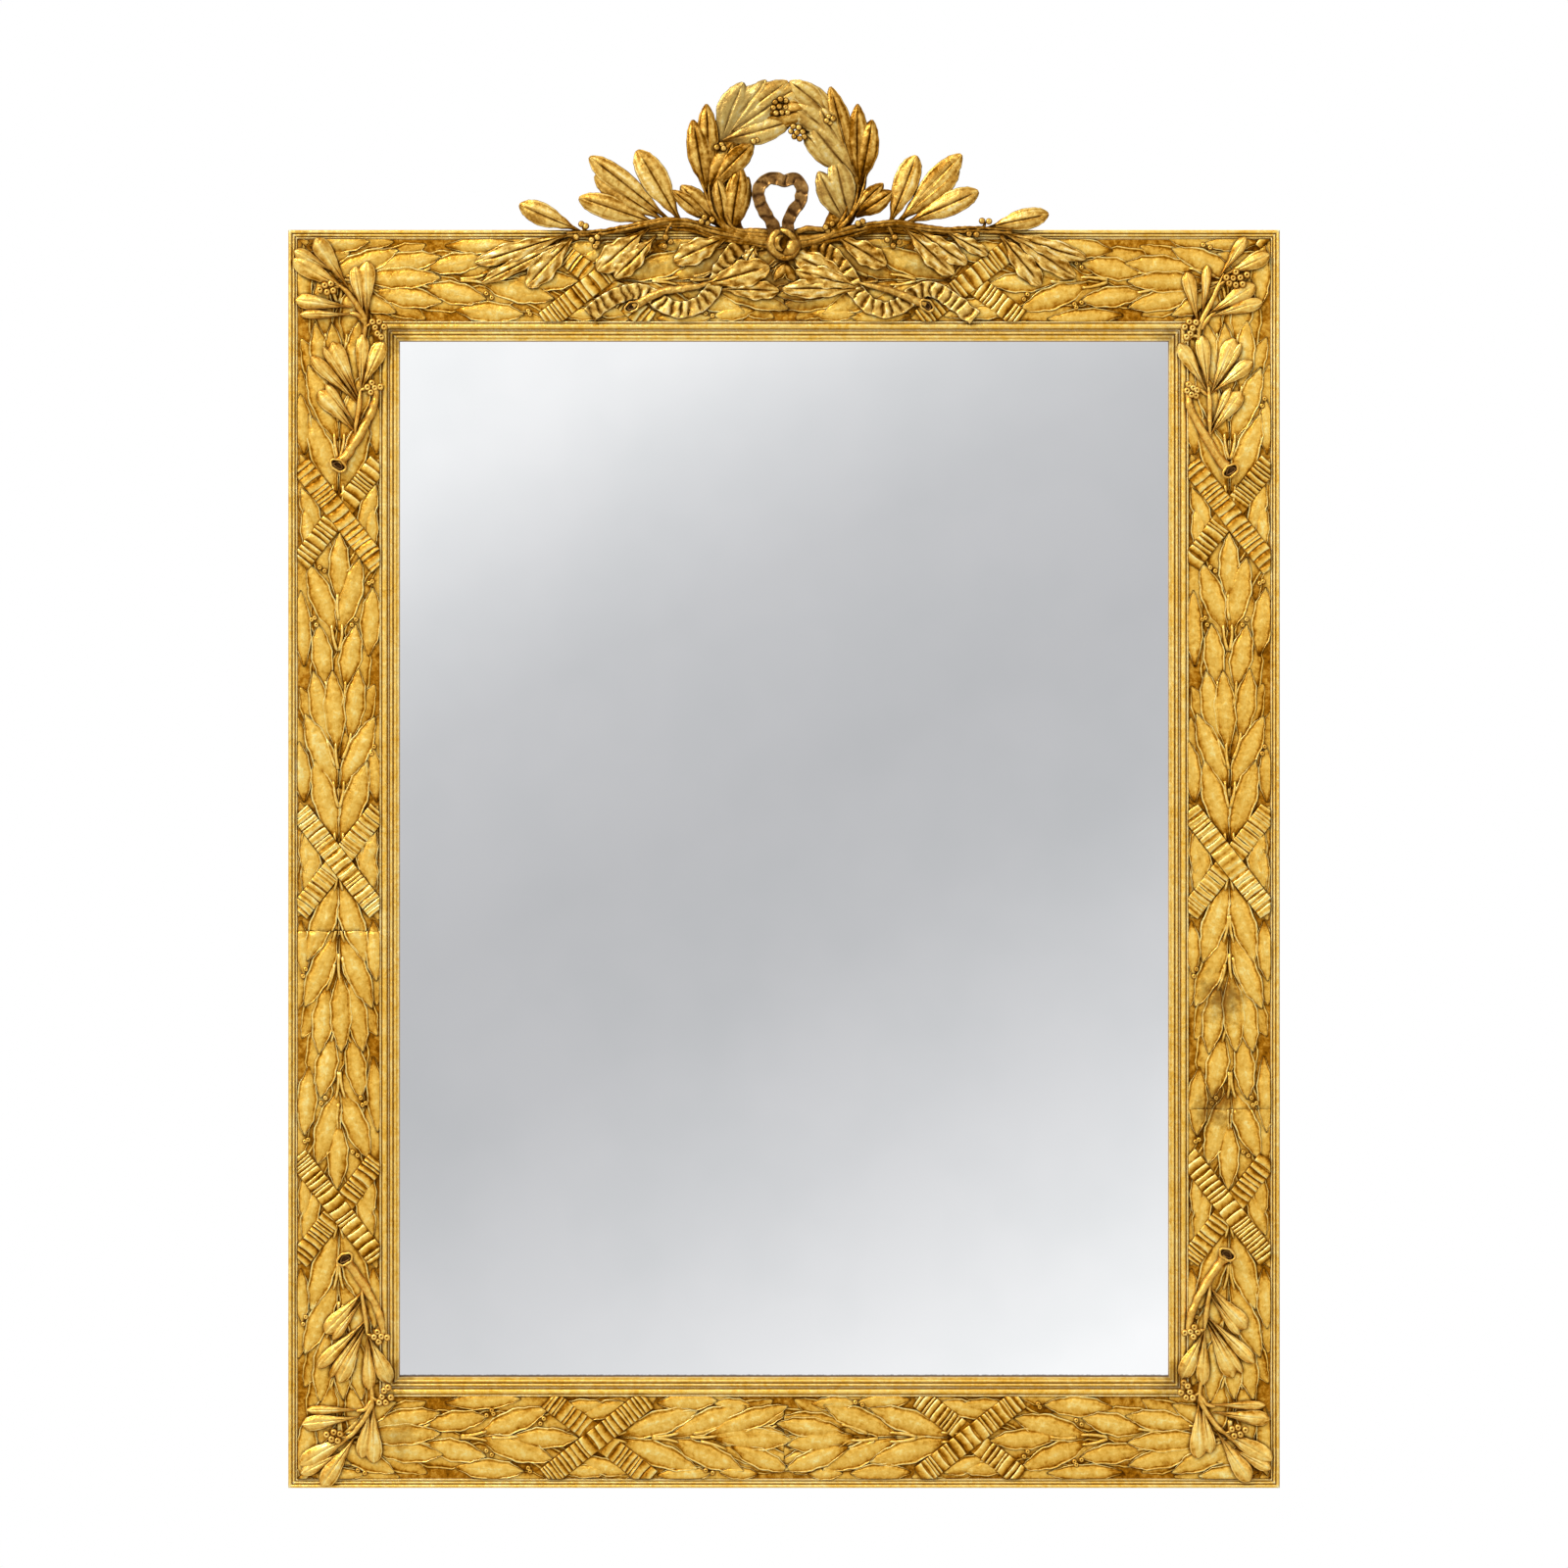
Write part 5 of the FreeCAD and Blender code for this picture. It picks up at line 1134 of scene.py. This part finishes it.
LOOP = shares((
    (-35, -30), (-40, 10), (-60, 45), (-85, 90), (-98, 135), (-85, 172), (-45, 193), (2, 185),
    (44, 190), (66, 158), (63, 110), (36, 70), (18, 35), (15, -30)))
# the leaves of the wreath that have gone olive, by their number in the list
OLIVE_LEFT = {2: -0.85, 3: -0.8, 4: -0.45, 5: -0.3, 6: -0.8, 13: -0.7, 14: -0.15}
OLIVE_RIGHT = {3: -0.3, 4: -0.35, 5: -0.45, 6: -0.35, 7: -0.5, 8: -0.5, 11: -0.35, 12: -0.25,
               13: -0.4}
print("wreath leaves", len(WREATH_LEFT["leaves"]) + len(WREATH_RIGHT["leaves"]))


def crest_spot(place):
    return (place[0] * CREST_UNIT, HALF_H + place[1] * CREST_UNIT)


# %% Branches, sprigs and wreath
def crest_leaves(table, tone, seed, kind=None):
    dice = random.Random(seed)
    rows = []
    for order, (x0, z0, x1, z1, width) in enumerate(table):
        shape = kind or ("wavy" if z1 < z0 else "carved")
        darker, height = dice.uniform(0, 0.2), dice.uniform(0.92, 1.05)
        rows.append(leaf_row(crest_spot((x0, z0)), crest_spot((x1, z1)),
                             width * CREST_UNIT * 1.05, FRONT_Y + 0.2 + 0.45 * (order % 4),
                             "%s%d" % (shape, (order + seed) % 3), tone + darker, height))
    return rows


def crest_berries(places, radius, sunk, tone):
    return [berry_row(crest_spot(place), radius, FRONT_Y - (4.6 + 1.4 * math.sin(2.3 * k)) - sunk,
                      tone, "bead") for k, place in enumerate(places)]


def crest_stem(points, r, lift, tone=0.3, rough=1.4, strands=1, taper=(1.2, 1.0, 1.05, 0.7)):
    """A twig, or several strands that weave round one line, as leaf stalks do near the knot."""
    spots = [crest_spot(point) for point in points]
    line = smooth_path([(x, FRONT_Y - lift + r, z) for x, z in spots], 2)
    thick, weave, deep = (0.62 * r, 0.62 * r, 0.35 * r) if strands > 1 else (r, 0.0, 0.0)
    made = []
    for strand in range(strands):
        path = []
        for k, point in enumerate(line):
            ahead = (line[min(k + 1, len(line) - 1)] - line[max(k - 1, 0)]).normalized()
            turn = 2.1 * strand + 0.24 * k
            sway = weave * math.sin(turn)
            path.append((point.x - ahead.z * sway, point.y - deep * math.cos(turn),
                         point.z + ahead.x * sway))
        made.append(swept(path, [thick * share for share in taper], CARVED_GOLD, rough,
                          tone + 0.12 * strand, 9))
    return made


def crest_branch(name, seed, leaves, stem, twigs, berries):
    rows = crest_leaves(leaves, 0.0, seed)
    rows += crest_berries(berries, BRANCH_BERRY_R, 0.0, 0.5)
    meshes = [laid(rows, CARVED_GOLD, 0.0, seed)] + crest_stem(stem, 3.3, 6.0, 0.3, 3.4, 3)
    for drop, lift in ((0.012, 5.0), (0.026, 4.4)):
        low = [(x, z - drop - 0.006 * math.sin(40 * x + lift)) for x, z in stem[:-2]]
        # the low strands carry a darker tone than the stem: painted shade under the branch
        meshes += crest_stem(low, 3.0, lift, 0.75, 3.2, 2)
    for twig in twigs:
        meshes += crest_stem(twig, 1.5, 4.4)
    hang(name, meshes)


def crest_sprig(name, seed, lean, leaves, stem, cut):
    """The last leaf of the list lies flat on the strip beside the knot."""
    rows = crest_leaves(leaves[:-1], 0.0, seed, "wavy")
    rows += crest_leaves(leaves[-1:], 0.45, seed, "pressed")
    x, z, long_share, short_share = cut
    meshes = [laid(rows, CARVED_GOLD, 0.0, seed)]
    meshes += crest_stem(stem, 4.2, 7.6, 0.05, 3.4, taper=(0.3, 0.8, 0.95, 1.0, 1.1))
    meshes += cut_face(crest_spot((x, z)), long_share * CREST_UNIT, short_share * CREST_UNIT,
                       lean, FRONT_Y - 9.0, CARVED_GOLD)
    hang(name, meshes)


def crest_wreath(name, seed, olive, leaves, stem, strands, berries):
    """Leaves on a flattened core, which fills the gaps between them."""
    rows = [(*row[:6], olive.get(k, row[6]))
            for k, row in enumerate(crest_leaves(leaves, 0.5, seed, "deep"))]
    rows += crest_berries(berries, WREATH_BERRY_R, 0.6, 0.55)
    core_y = FRONT_Y + 4.0
    # the core's tone of 0.75 paints the gaps between the leaves dark: painted shade
    core = swept([(x, core_y, z) for x, z in map(crest_spot, stem)],
                 (12.0, 14.0, 14.5, 14.5, 15.5, 16.5, 14.0), CARVED_GOLD, 3.0, 0.75)
    for vert in core.vertices:
        vert.co.y = core_y * MM + (vert.co.y - core_y * MM) * 0.45
    meshes = [laid(rows, CARVED_GOLD, 0.0, seed), core]
    for strand in strands:
        meshes += crest_stem(strand, 3.2, 6.0, 0.45, 2.6, taper=(0.15, 0.7, 1.0, 1.1))
    hang(name, meshes)


crest_branch("crest_branch_left", 21, **BRANCH_LEFT)
crest_branch("crest_branch_right", 22, **BRANCH_RIGHT)
crest_sprig("crest_sprig_left", 23, 25, **SPRIG_LEFT)
crest_sprig("crest_sprig_right", 24, -35, **SPRIG_RIGHT)
crest_wreath("crest_wreath_left", 25, OLIVE_LEFT, **WREATH_LEFT)
crest_wreath("crest_wreath_right", 26, OLIVE_RIGHT, **WREATH_RIGHT)

# %% [markdown]
# ## Ribbon loop, tails and knot
# A ribbon is a band with a lip along both edges, and its own surface rises and falls in
# uneven cross folds, painted light on their crests and dark in their troughs. Near the knot it
# is painted darker, as shade, and the tails are drawn under it there. The knot is a cushion with
# a ball on it, rolls of ribbon wound round it, and a strap over the top.

# %% Ribbons that follow a path
KNOT_PLACE = (0.0, -0.052)
BAND = (-1, -0.94, -0.84, -0.6, -0.25, 0.15, 0.5, 0.78, 0.92, 1)
KNOT_SHADE_REACH, TUCK_REACH = 75, 80


def ribbon(points, width, y_back, y_front, pitch, rise, finish, seed, tone, lip=1.0, tuck=0.0):
    """A band gathered into uneven cross folds; tuck draws it under near the knot and paints it
    darker there, as shade.
    """
    line = smooth_path([(x, 0, z) for x, z in map(crest_spot, points)], 14)
    centre = Vector(crest_spot(KNOT_PLACE))

    def closeness(x, z, unit, reach):
        """1 at the knot, 0 from the reach outwards."""
        return max(0.0, 1 - (Vector((x, z)) / unit - centre).length / reach)

    def ruffle(*place):
        return noise.noise(Vector(place))

    grid, wear_and_shading, walked = [], [], 0.0
    for k, point in enumerate(line):
        before = line[max(k - 1, 0)]
        ahead = (line[min(k + 1, len(line) - 1)] - before).normalized()
        side = Vector((-ahead.z, 0, ahead.x)) * (width / 2 * 0.95)
        walked += (point - before).length
        sway = [1 + 0.24 * ruffle(walked / 8.0, seed, way) for way in (0, 7)]
        sunk = tuck * closeness(point.x, point.z, 1, TUCK_REACH)
        row, marks = [], []
        for v in BAND:
            turn = walked / pitch + 0.55 * ruffle(walked / 17.0, 0.8 * v, seed + 4)
            beat = 2 * math.pi * (turn + 0.12 * math.sin(2 * math.pi * turn))
            swell = 0.8 + 0.5 * ruffle(walked / 11.0, 2 * v, seed + 9)
            crease = (1 - 2 * (0.5 - 0.5 * math.sin(beat)) ** 2.4) * swell
            edge = bump(abs(v), 0.92, 0.09)
            height = lip * edge + rise * crease * (1 - 0.75 * edge) - (abs(v) == 1)
            forward = Vector((0, y_front - height + sunk, 0))
            row.append(tuple((point + side * v * sway[v > 0] + forward) * MM))
            # the lips and the crests of the folds are painted light and the troughs dark: painted
            # highlight and shade
            marks.append(-0.8 if abs(v) == 1
                         else 0.75 * edge + (0.65 * crease - 0.15) * (1 - edge))
        grid.append(row)
        wear_and_shading.append(marks)
    band = shell("band", grid, lambda p: (p[0], y_back * MM, p[2]), wear_and_shading)
    # painted shade: the band darkens towards the knot, more where it is tucked under
    carry(band, "tone", "FLOAT", [
        tone + (0.8 + 0.3 * tuck) * closeness(v.co.x, v.co.z, MM, KNOT_SHADE_REACH)
        for v in band.vertices])
    band.materials.append(finish)
    return [band]


for name, tail, seed in (("ribbon_tail_left", TAIL_LEFT, 31),
                         ("ribbon_tail_right", TAIL_RIGHT, 32)):
    hang(name, ribbon(tail, 18, FRONT_Y + 0.3, FRONT_Y - 3.2, 9.4, 2.3, CARVED_GOLD, seed, 0.05,
                      tuck=2.4))
hang("crest_ribbon_loop", ribbon(LOOP, 13.5, FRONT_Y - 3.4, FRONT_Y - 8.2, 12.5, 0.75,
                                 BROWN_GOLD, 33, 0.3, 1.7))


# %% The knot, in mm from its middle: x, distance in front, z
CUSHION = ((14.5, 0), (15.6, 3), (14.6, 5.5), (11, 7.0), (5, 7.6), (0.5, 7.6))
BALL = ((0.0, 5.6, -10.5), (6.0, 6.8, -7.0), (9.5, 6.8, -0.5), (10.0, 5.6, 5.0))
STRAP = ((-3, 8.6, 13.5), (3, 10.0, 11), (8.5, 10.0, 6.5), (12, 7.5, 1))
# reach, thickness, first angle, sweep in degrees, lift, tone
WRAPS = ((12.8, 4.4, 85, 185, 6.0, 0.0), (7.4, 3.0, 95, 165, 8.2, 0.05),
         (15.2, 2.8, 235, 140, 5.0, 0.3), (16.2, 2.2, 100, 120, 4.0, 0.45))


def knot():
    cx, cz = crest_spot(KNOT_PLACE)

    def roll(points, radii, rough, tone=0.0):
        return swept([(cx + x, FRONT_Y - y, cz + z) for x, y, z in points], radii, CARVED_GOLD,
                     rough, tone)

    # the cushion's values are all low: painted shade under the rolls and the ball
    cushion = turned_shape("cushion", [(r * MM, h * MM) for r, h in CUSHION], 24,
                           (-1, -0.8, -0.6, -0.9, -1, -1))
    cushion.transform(Matrix.Translation((cx * MM, FRONT_Y * MM, cz * MM))
                      @ Matrix.Rotation(math.pi / 2, 4, "X") @ Matrix.Scale(1.12, 4))
    cushion.materials.append(CARVED_GOLD)
    meshes = [cushion, roll(BALL, (2.8, 6.4, 6.8, 3.4), 1.8, 0.05)]
    for reach, thick, start, sweep, lift, tone in WRAPS:
        angles = [math.radians(start + sweep * k / 8) for k in range(9)]
        wrap = [(reach * math.cos(angle), lift + 1.2 * math.sin(math.pi * k / 8),
                 reach * math.sin(angle)) for k, angle in enumerate(angles)]
        meshes.append(roll(wrap, [thick * share for share in (0.45, 1, 1.1, 0.9, 0.45)], 1.6,
                           tone))
    hang("crest_knot", meshes + [roll(STRAP, (2.6, 3.4, 3.2, 2.2), 1.6)])


knot()

# %% [markdown]
# ## Wood, iron, brass and glass
# What the wall hides is plain joiner's work: a softwood carcass, thin boards, pegs and
# blocks, forged irons and a brass hanger on each side. Their solids are right as they are,
# so only their finish is made here. Wood gets long rings from a stretched noise. The sides of
# the carcass have a wash of gold. Along the glass's foot a dark line is painted: a painted
# reflection of the dark underside of the lip.

# %% Back finishes
def wood(name, light, dark, along, stain="6A4A2A", stain_share=0.5, washed=False):
    finish, tree, shader, where = new_finish(name)
    stretch = [60.0, 60.0, 60.0]
    stretch[along] = 3.0
    run = add(tree, "ShaderNodeMapping", {"Vector": where, "Scale": stretch}).outputs[0]
    rings = grain(tree, run, 3.2, 4.0, 0.55, 1.2)
    pores = grain(tree, run, 14.0, 5.0, 0.7)
    cloud = grain(tree, where, 6.0, 3.0)
    base = mixed(tree, ranged(tree, rings, 0.35, 0.65), paint(light), dark)
    base = mixed(tree, ranged(tree, pores, 0.55, 0.75, 0.0, 0.6), base, stain)
    base = mixed(tree, ranged(tree, cloud, 0.45, 0.75, 0.0, stain_share), base, stain)
    if washed:
        split = add(tree, "ShaderNodeSeparateXYZ", {0: where}).outputs
        sides = [ranged(tree, sums(tree, "ABSOLUTE", split[axis], 0.0), (half - 0.6) * MM,
                        (half - 0.2) * MM) for axis, half in ((0, HALF_W), (2, HALF_H))]
        patches = ranged(tree, grain(tree, where, 40.0, 5.0, 0.7), 0.35, 0.62)
        base = mixed(tree, sums(tree, "MAXIMUM", *sides), base,
                     mixed(tree, patches, paint("8A6428"), "B98D38"))
    feed(tree, shader, {"Base Color": base, "Roughness": ranged(tree, rings, 0.3, 0.7, 0.58, 0.8),
                        "Normal": relief(tree, pores, 0.4, 0.0008)})
    return finish


def metal(name, light, dark, rust, rough, metallic=1.0):
    finish, tree, shader, where = new_finish(name)
    cloud = grain(tree, where, 90.0, 5.0, 0.65)
    speck = grain(tree, where, 700.0, 3.0)
    base = mixed(tree, ranged(tree, cloud, 0.35, 0.65), paint(light), dark)
    spots = ranged(tree, speck, 0.55, 0.7, 0.0, 0.7)
    feed(tree, shader, {
        "Base Color": mixed(tree, spots, base, rust),
        "Metallic": ranged(tree, spots, 0.0, 0.7, metallic, 0.3),
        "Roughness": ranged(tree, cloud, 0.3, 0.7, rough, rough + 0.25),
        "Normal": relief(tree, speck, 0.4, 0.0004)})
    return finish


def plate_finish():
    finish, tree, shader, where = new_finish("silvered_plate")
    cloud = grain(tree, where, 5.0, 3.0)
    speck = grain(tree, where, 260.0, 4.0, 0.7)
    base = mixed(tree, ranged(tree, cloud, 0.4, 0.7), paint("FCFCFC"), "F6F7F7")
    base = mixed(tree, ranged(tree, speck, 0.76, 0.82, 0.0, 0.5), base, "8C8A84")
    height = add(tree, "ShaderNodeSeparateXYZ", {0: where}).outputs[2]
    # painted reflection: a dark line along the glass's foot stands for the lip's dark underside
    # seen in the mirror
    painted_lip_reflection = sums(tree, "ADD", height, ranged(tree, speck, 0.3, 0.7, -0.0004, 0.0004))
    base = mixed(tree, ranged(tree, painted_lip_reflection, -0.5268, -0.5278, 0.0, 0.85), base, "5A4A34")
    feed(tree, shader, {
        "Base Color": base, "Metallic": 1.0,
        "Roughness": ranged(tree, cloud, 0.3, 0.7, 0.02, 0.035),
        "Normal": relief(tree, grain(tree, where, 2.2, 1.0), 0.02, 0.002)})
    return finish


def dress(finish, *nodes):
    """Gives the solids themselves a finish, in every slot that they have."""
    for name in nodes:
        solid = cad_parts[name]
        if not solid.material_slots:
            solid.data.materials.append(finish)
        for slot in solid.material_slots:
            slot.material = finish
    print(finish.name, "on", len(nodes), "solids")


SOFTWOOD = ("B98C5A", "93673A")
dress(wood("softwood_rail", *SOFTWOOD, 0, washed=True), "rail_top", "rail_bottom")
dress(wood("softwood_stile", *SOFTWOOD, 2, washed=True), "stile_left", "stile_right")
dress(wood("back_board", "A98258", "8A6440", 2, "57402A", 0.6), "back_board_left",
      "back_board_centre", "back_board_right")
dress(wood("peg_wood", "A87B45", "7E5528", 1), "corner_pegs")
dress(wood("block_wood", "C29A68", "9C7242", 0), "glazing_blocks")
dress(MOULD_GOLD, *["%s_moulding_%s" % (kind, side) for kind in ("outer", "sight")
                    for side in ("top", "bottom", "left", "right")])
dress(metal("forged_iron", "3A3734", "24211F", "5A3A22", 0.5, 0.8), "crest_bracket_left",
      "crest_bracket_right")
dress(metal("screw_steel", "9A948A", "6E675E", "6A4426", 0.3), "back_board_screws",
      "crest_bracket_screws", "hanger_screws_left", "hanger_screws_right")
dress(metal("hanger_brass", "C9A24E", "9C7630", "5E4A26", 0.25), "hanger_strap_left",
      "hanger_strap_right", "hanger_ring_left", "hanger_ring_right")
dress(plate_finish(), "mirror_glass")

# %% [markdown]
# ## Room, light and camera
# The photograph was taken straight on with a long lens, in front of white. The plate shows
# what is behind the camera: a pale card with one soft grey band, which only gloss can see.
# The world is white to the eye and to glass, brightens for gloss towards the upper left, and
# is dim for the light that it gives. A strong lamp high on the left makes the shadows.

# %% Stage and world
def stage_card(name, points, surface):
    """A flat piece of the room; surface makes its shader in the tree that it is given."""
    mesh = bpy.data.meshes.new(name)
    mesh.from_pydata(points, [], [tuple(range(len(points)))])
    finish, tree = blank_finish(name)
    add(tree, "ShaderNodeOutputMaterial", {"Surface": surface(tree).outputs[0]})
    mesh.materials.append(finish)
    made = bpy.data.objects.new(name, mesh)
    bpy.context.scene.collection.objects.link(made)
    return made


def floor_surface(tree):
    return add(tree, "ShaderNodeBsdfPrincipled", {"Base Color": paint("F2F2F0"),
                                                  "Roughness": 0.9})


# place across the card's slope, and how bright it is there
CARD_BAND = ((0.0, 1.0), (0.12, 0.92), (0.23, 0.71), (0.32, 0.59), (0.48, 0.53), (0.61, 0.56),
             (0.77, 0.69), (0.87, 0.81), (1.0, 0.99))


def card_surface(tree):
    where = add(tree, "ShaderNodeTexCoord").outputs["Object"]
    turned = add(tree, "ShaderNodeMapping", {"Vector": where,
                                             "Rotation": (0, math.radians(27), 0)}).outputs[0]
    slope = add(tree, "ShaderNodeSeparateXYZ", {0: turned}).outputs[2]
    band = ramped(tree, ranged(tree, slope, 1.4, -1.4),
                  [(place, (value * 0.985, value * 0.995, value * (1.055 - 0.05 * value), 1))
                   for place, value in CARD_BAND])
    return add(tree, "ShaderNodeEmission", {"Color": band, "Strength": 1.0})


stage_card("floor", ((-3, -3, -0.9), (3, -3, -0.9), (3, 1.6, -0.9), (-3, 1.6, -0.9)),
           floor_surface)
behind = stage_card("card_behind_camera", ((-1.15, -9.5, -1.5), (1.15, -9.5, -1.5),
                                           (1.15, -9.5, 1.55), (-1.15, -9.5, 1.55)),
                    card_surface)
behind.visible_diffuse = behind.visible_camera = False

scene = bpy.context.scene
scene.world = bpy.data.worlds.new("studio")
scene.world.use_nodes = True
sky = scene.world.node_tree
sky.nodes.clear()
rays = add(sky, "ShaderNodeLightPath").outputs
way = add(sky, "ShaderNodeTexCoord").outputs["Generated"]
lean = add(sky, "ShaderNodeVectorMath", {0: way, 1: (-0.42, -0.38, 0.82)},
           operation="DOT_PRODUCT").outputs["Value"]
shine = sums(sky, "MULTIPLY", rays["Is Glossy Ray"], ranged(sky, lean, -0.55, 0.65, 0.0, 0.75))
seen = sums(sky, "MAXIMUM", rays["Is Camera Ray"], rays["Is Transmission Ray"])
level = sums(sky, "MAXIMUM", seen, sums(sky, "ADD", shine, 0.25))
glow = add(sky, "ShaderNodeBackground", {"Color": (1, 1, 1, 1), "Strength": level})
add(sky, "ShaderNodeOutputWorld", {"Surface": glow.outputs[0]})
print("room pieces floor and", behind.name)


# %% Lamps
def lamp(name, place, target, size, power):
    light = bpy.data.lights.new(name, "AREA")
    light.size = size
    light.energy = power
    made = bpy.data.objects.new(name, light)
    made.location = place
    made.rotation_euler = (Vector(target) - Vector(place)).to_track_quat("-Z", "Y").to_euler()
    scene.collection.objects.link(made)
    print("lamp", name, power, "W")


lamp("key", (-3.2, -3.4, 4.2), (0, 0, 0.1), 1.2, 265)
lamp("fill", (2.4, -2.6, 0.6), (0, 0, 0), 1.6, 12)
lamp("back", (0.5, 2.4, 2.0), (0, 0, 0), 1.6, 30)

# %% Camera: 1.6 m of the plane in front of the leaves fills the picture
DISTANCE, SEEN_WIDTH = 8.0, 1.6
eye = bpy.data.cameras.new("camera")
eye.sensor_width = 36.0
eye.lens = eye.sensor_width * (DISTANCE + FRONT_Y * MM) / SEEN_WIDTH
camera = bpy.data.objects.new("camera", eye)
camera.location = (0, -DISTANCE, 0.0765)
camera.rotation_euler = (math.pi / 2, 0, 0)
scene.collection.objects.link(camera)
scene.camera = camera
scene.view_settings.view_transform = "Standard"
print("lens", round(eye.lens, 1), "mm")
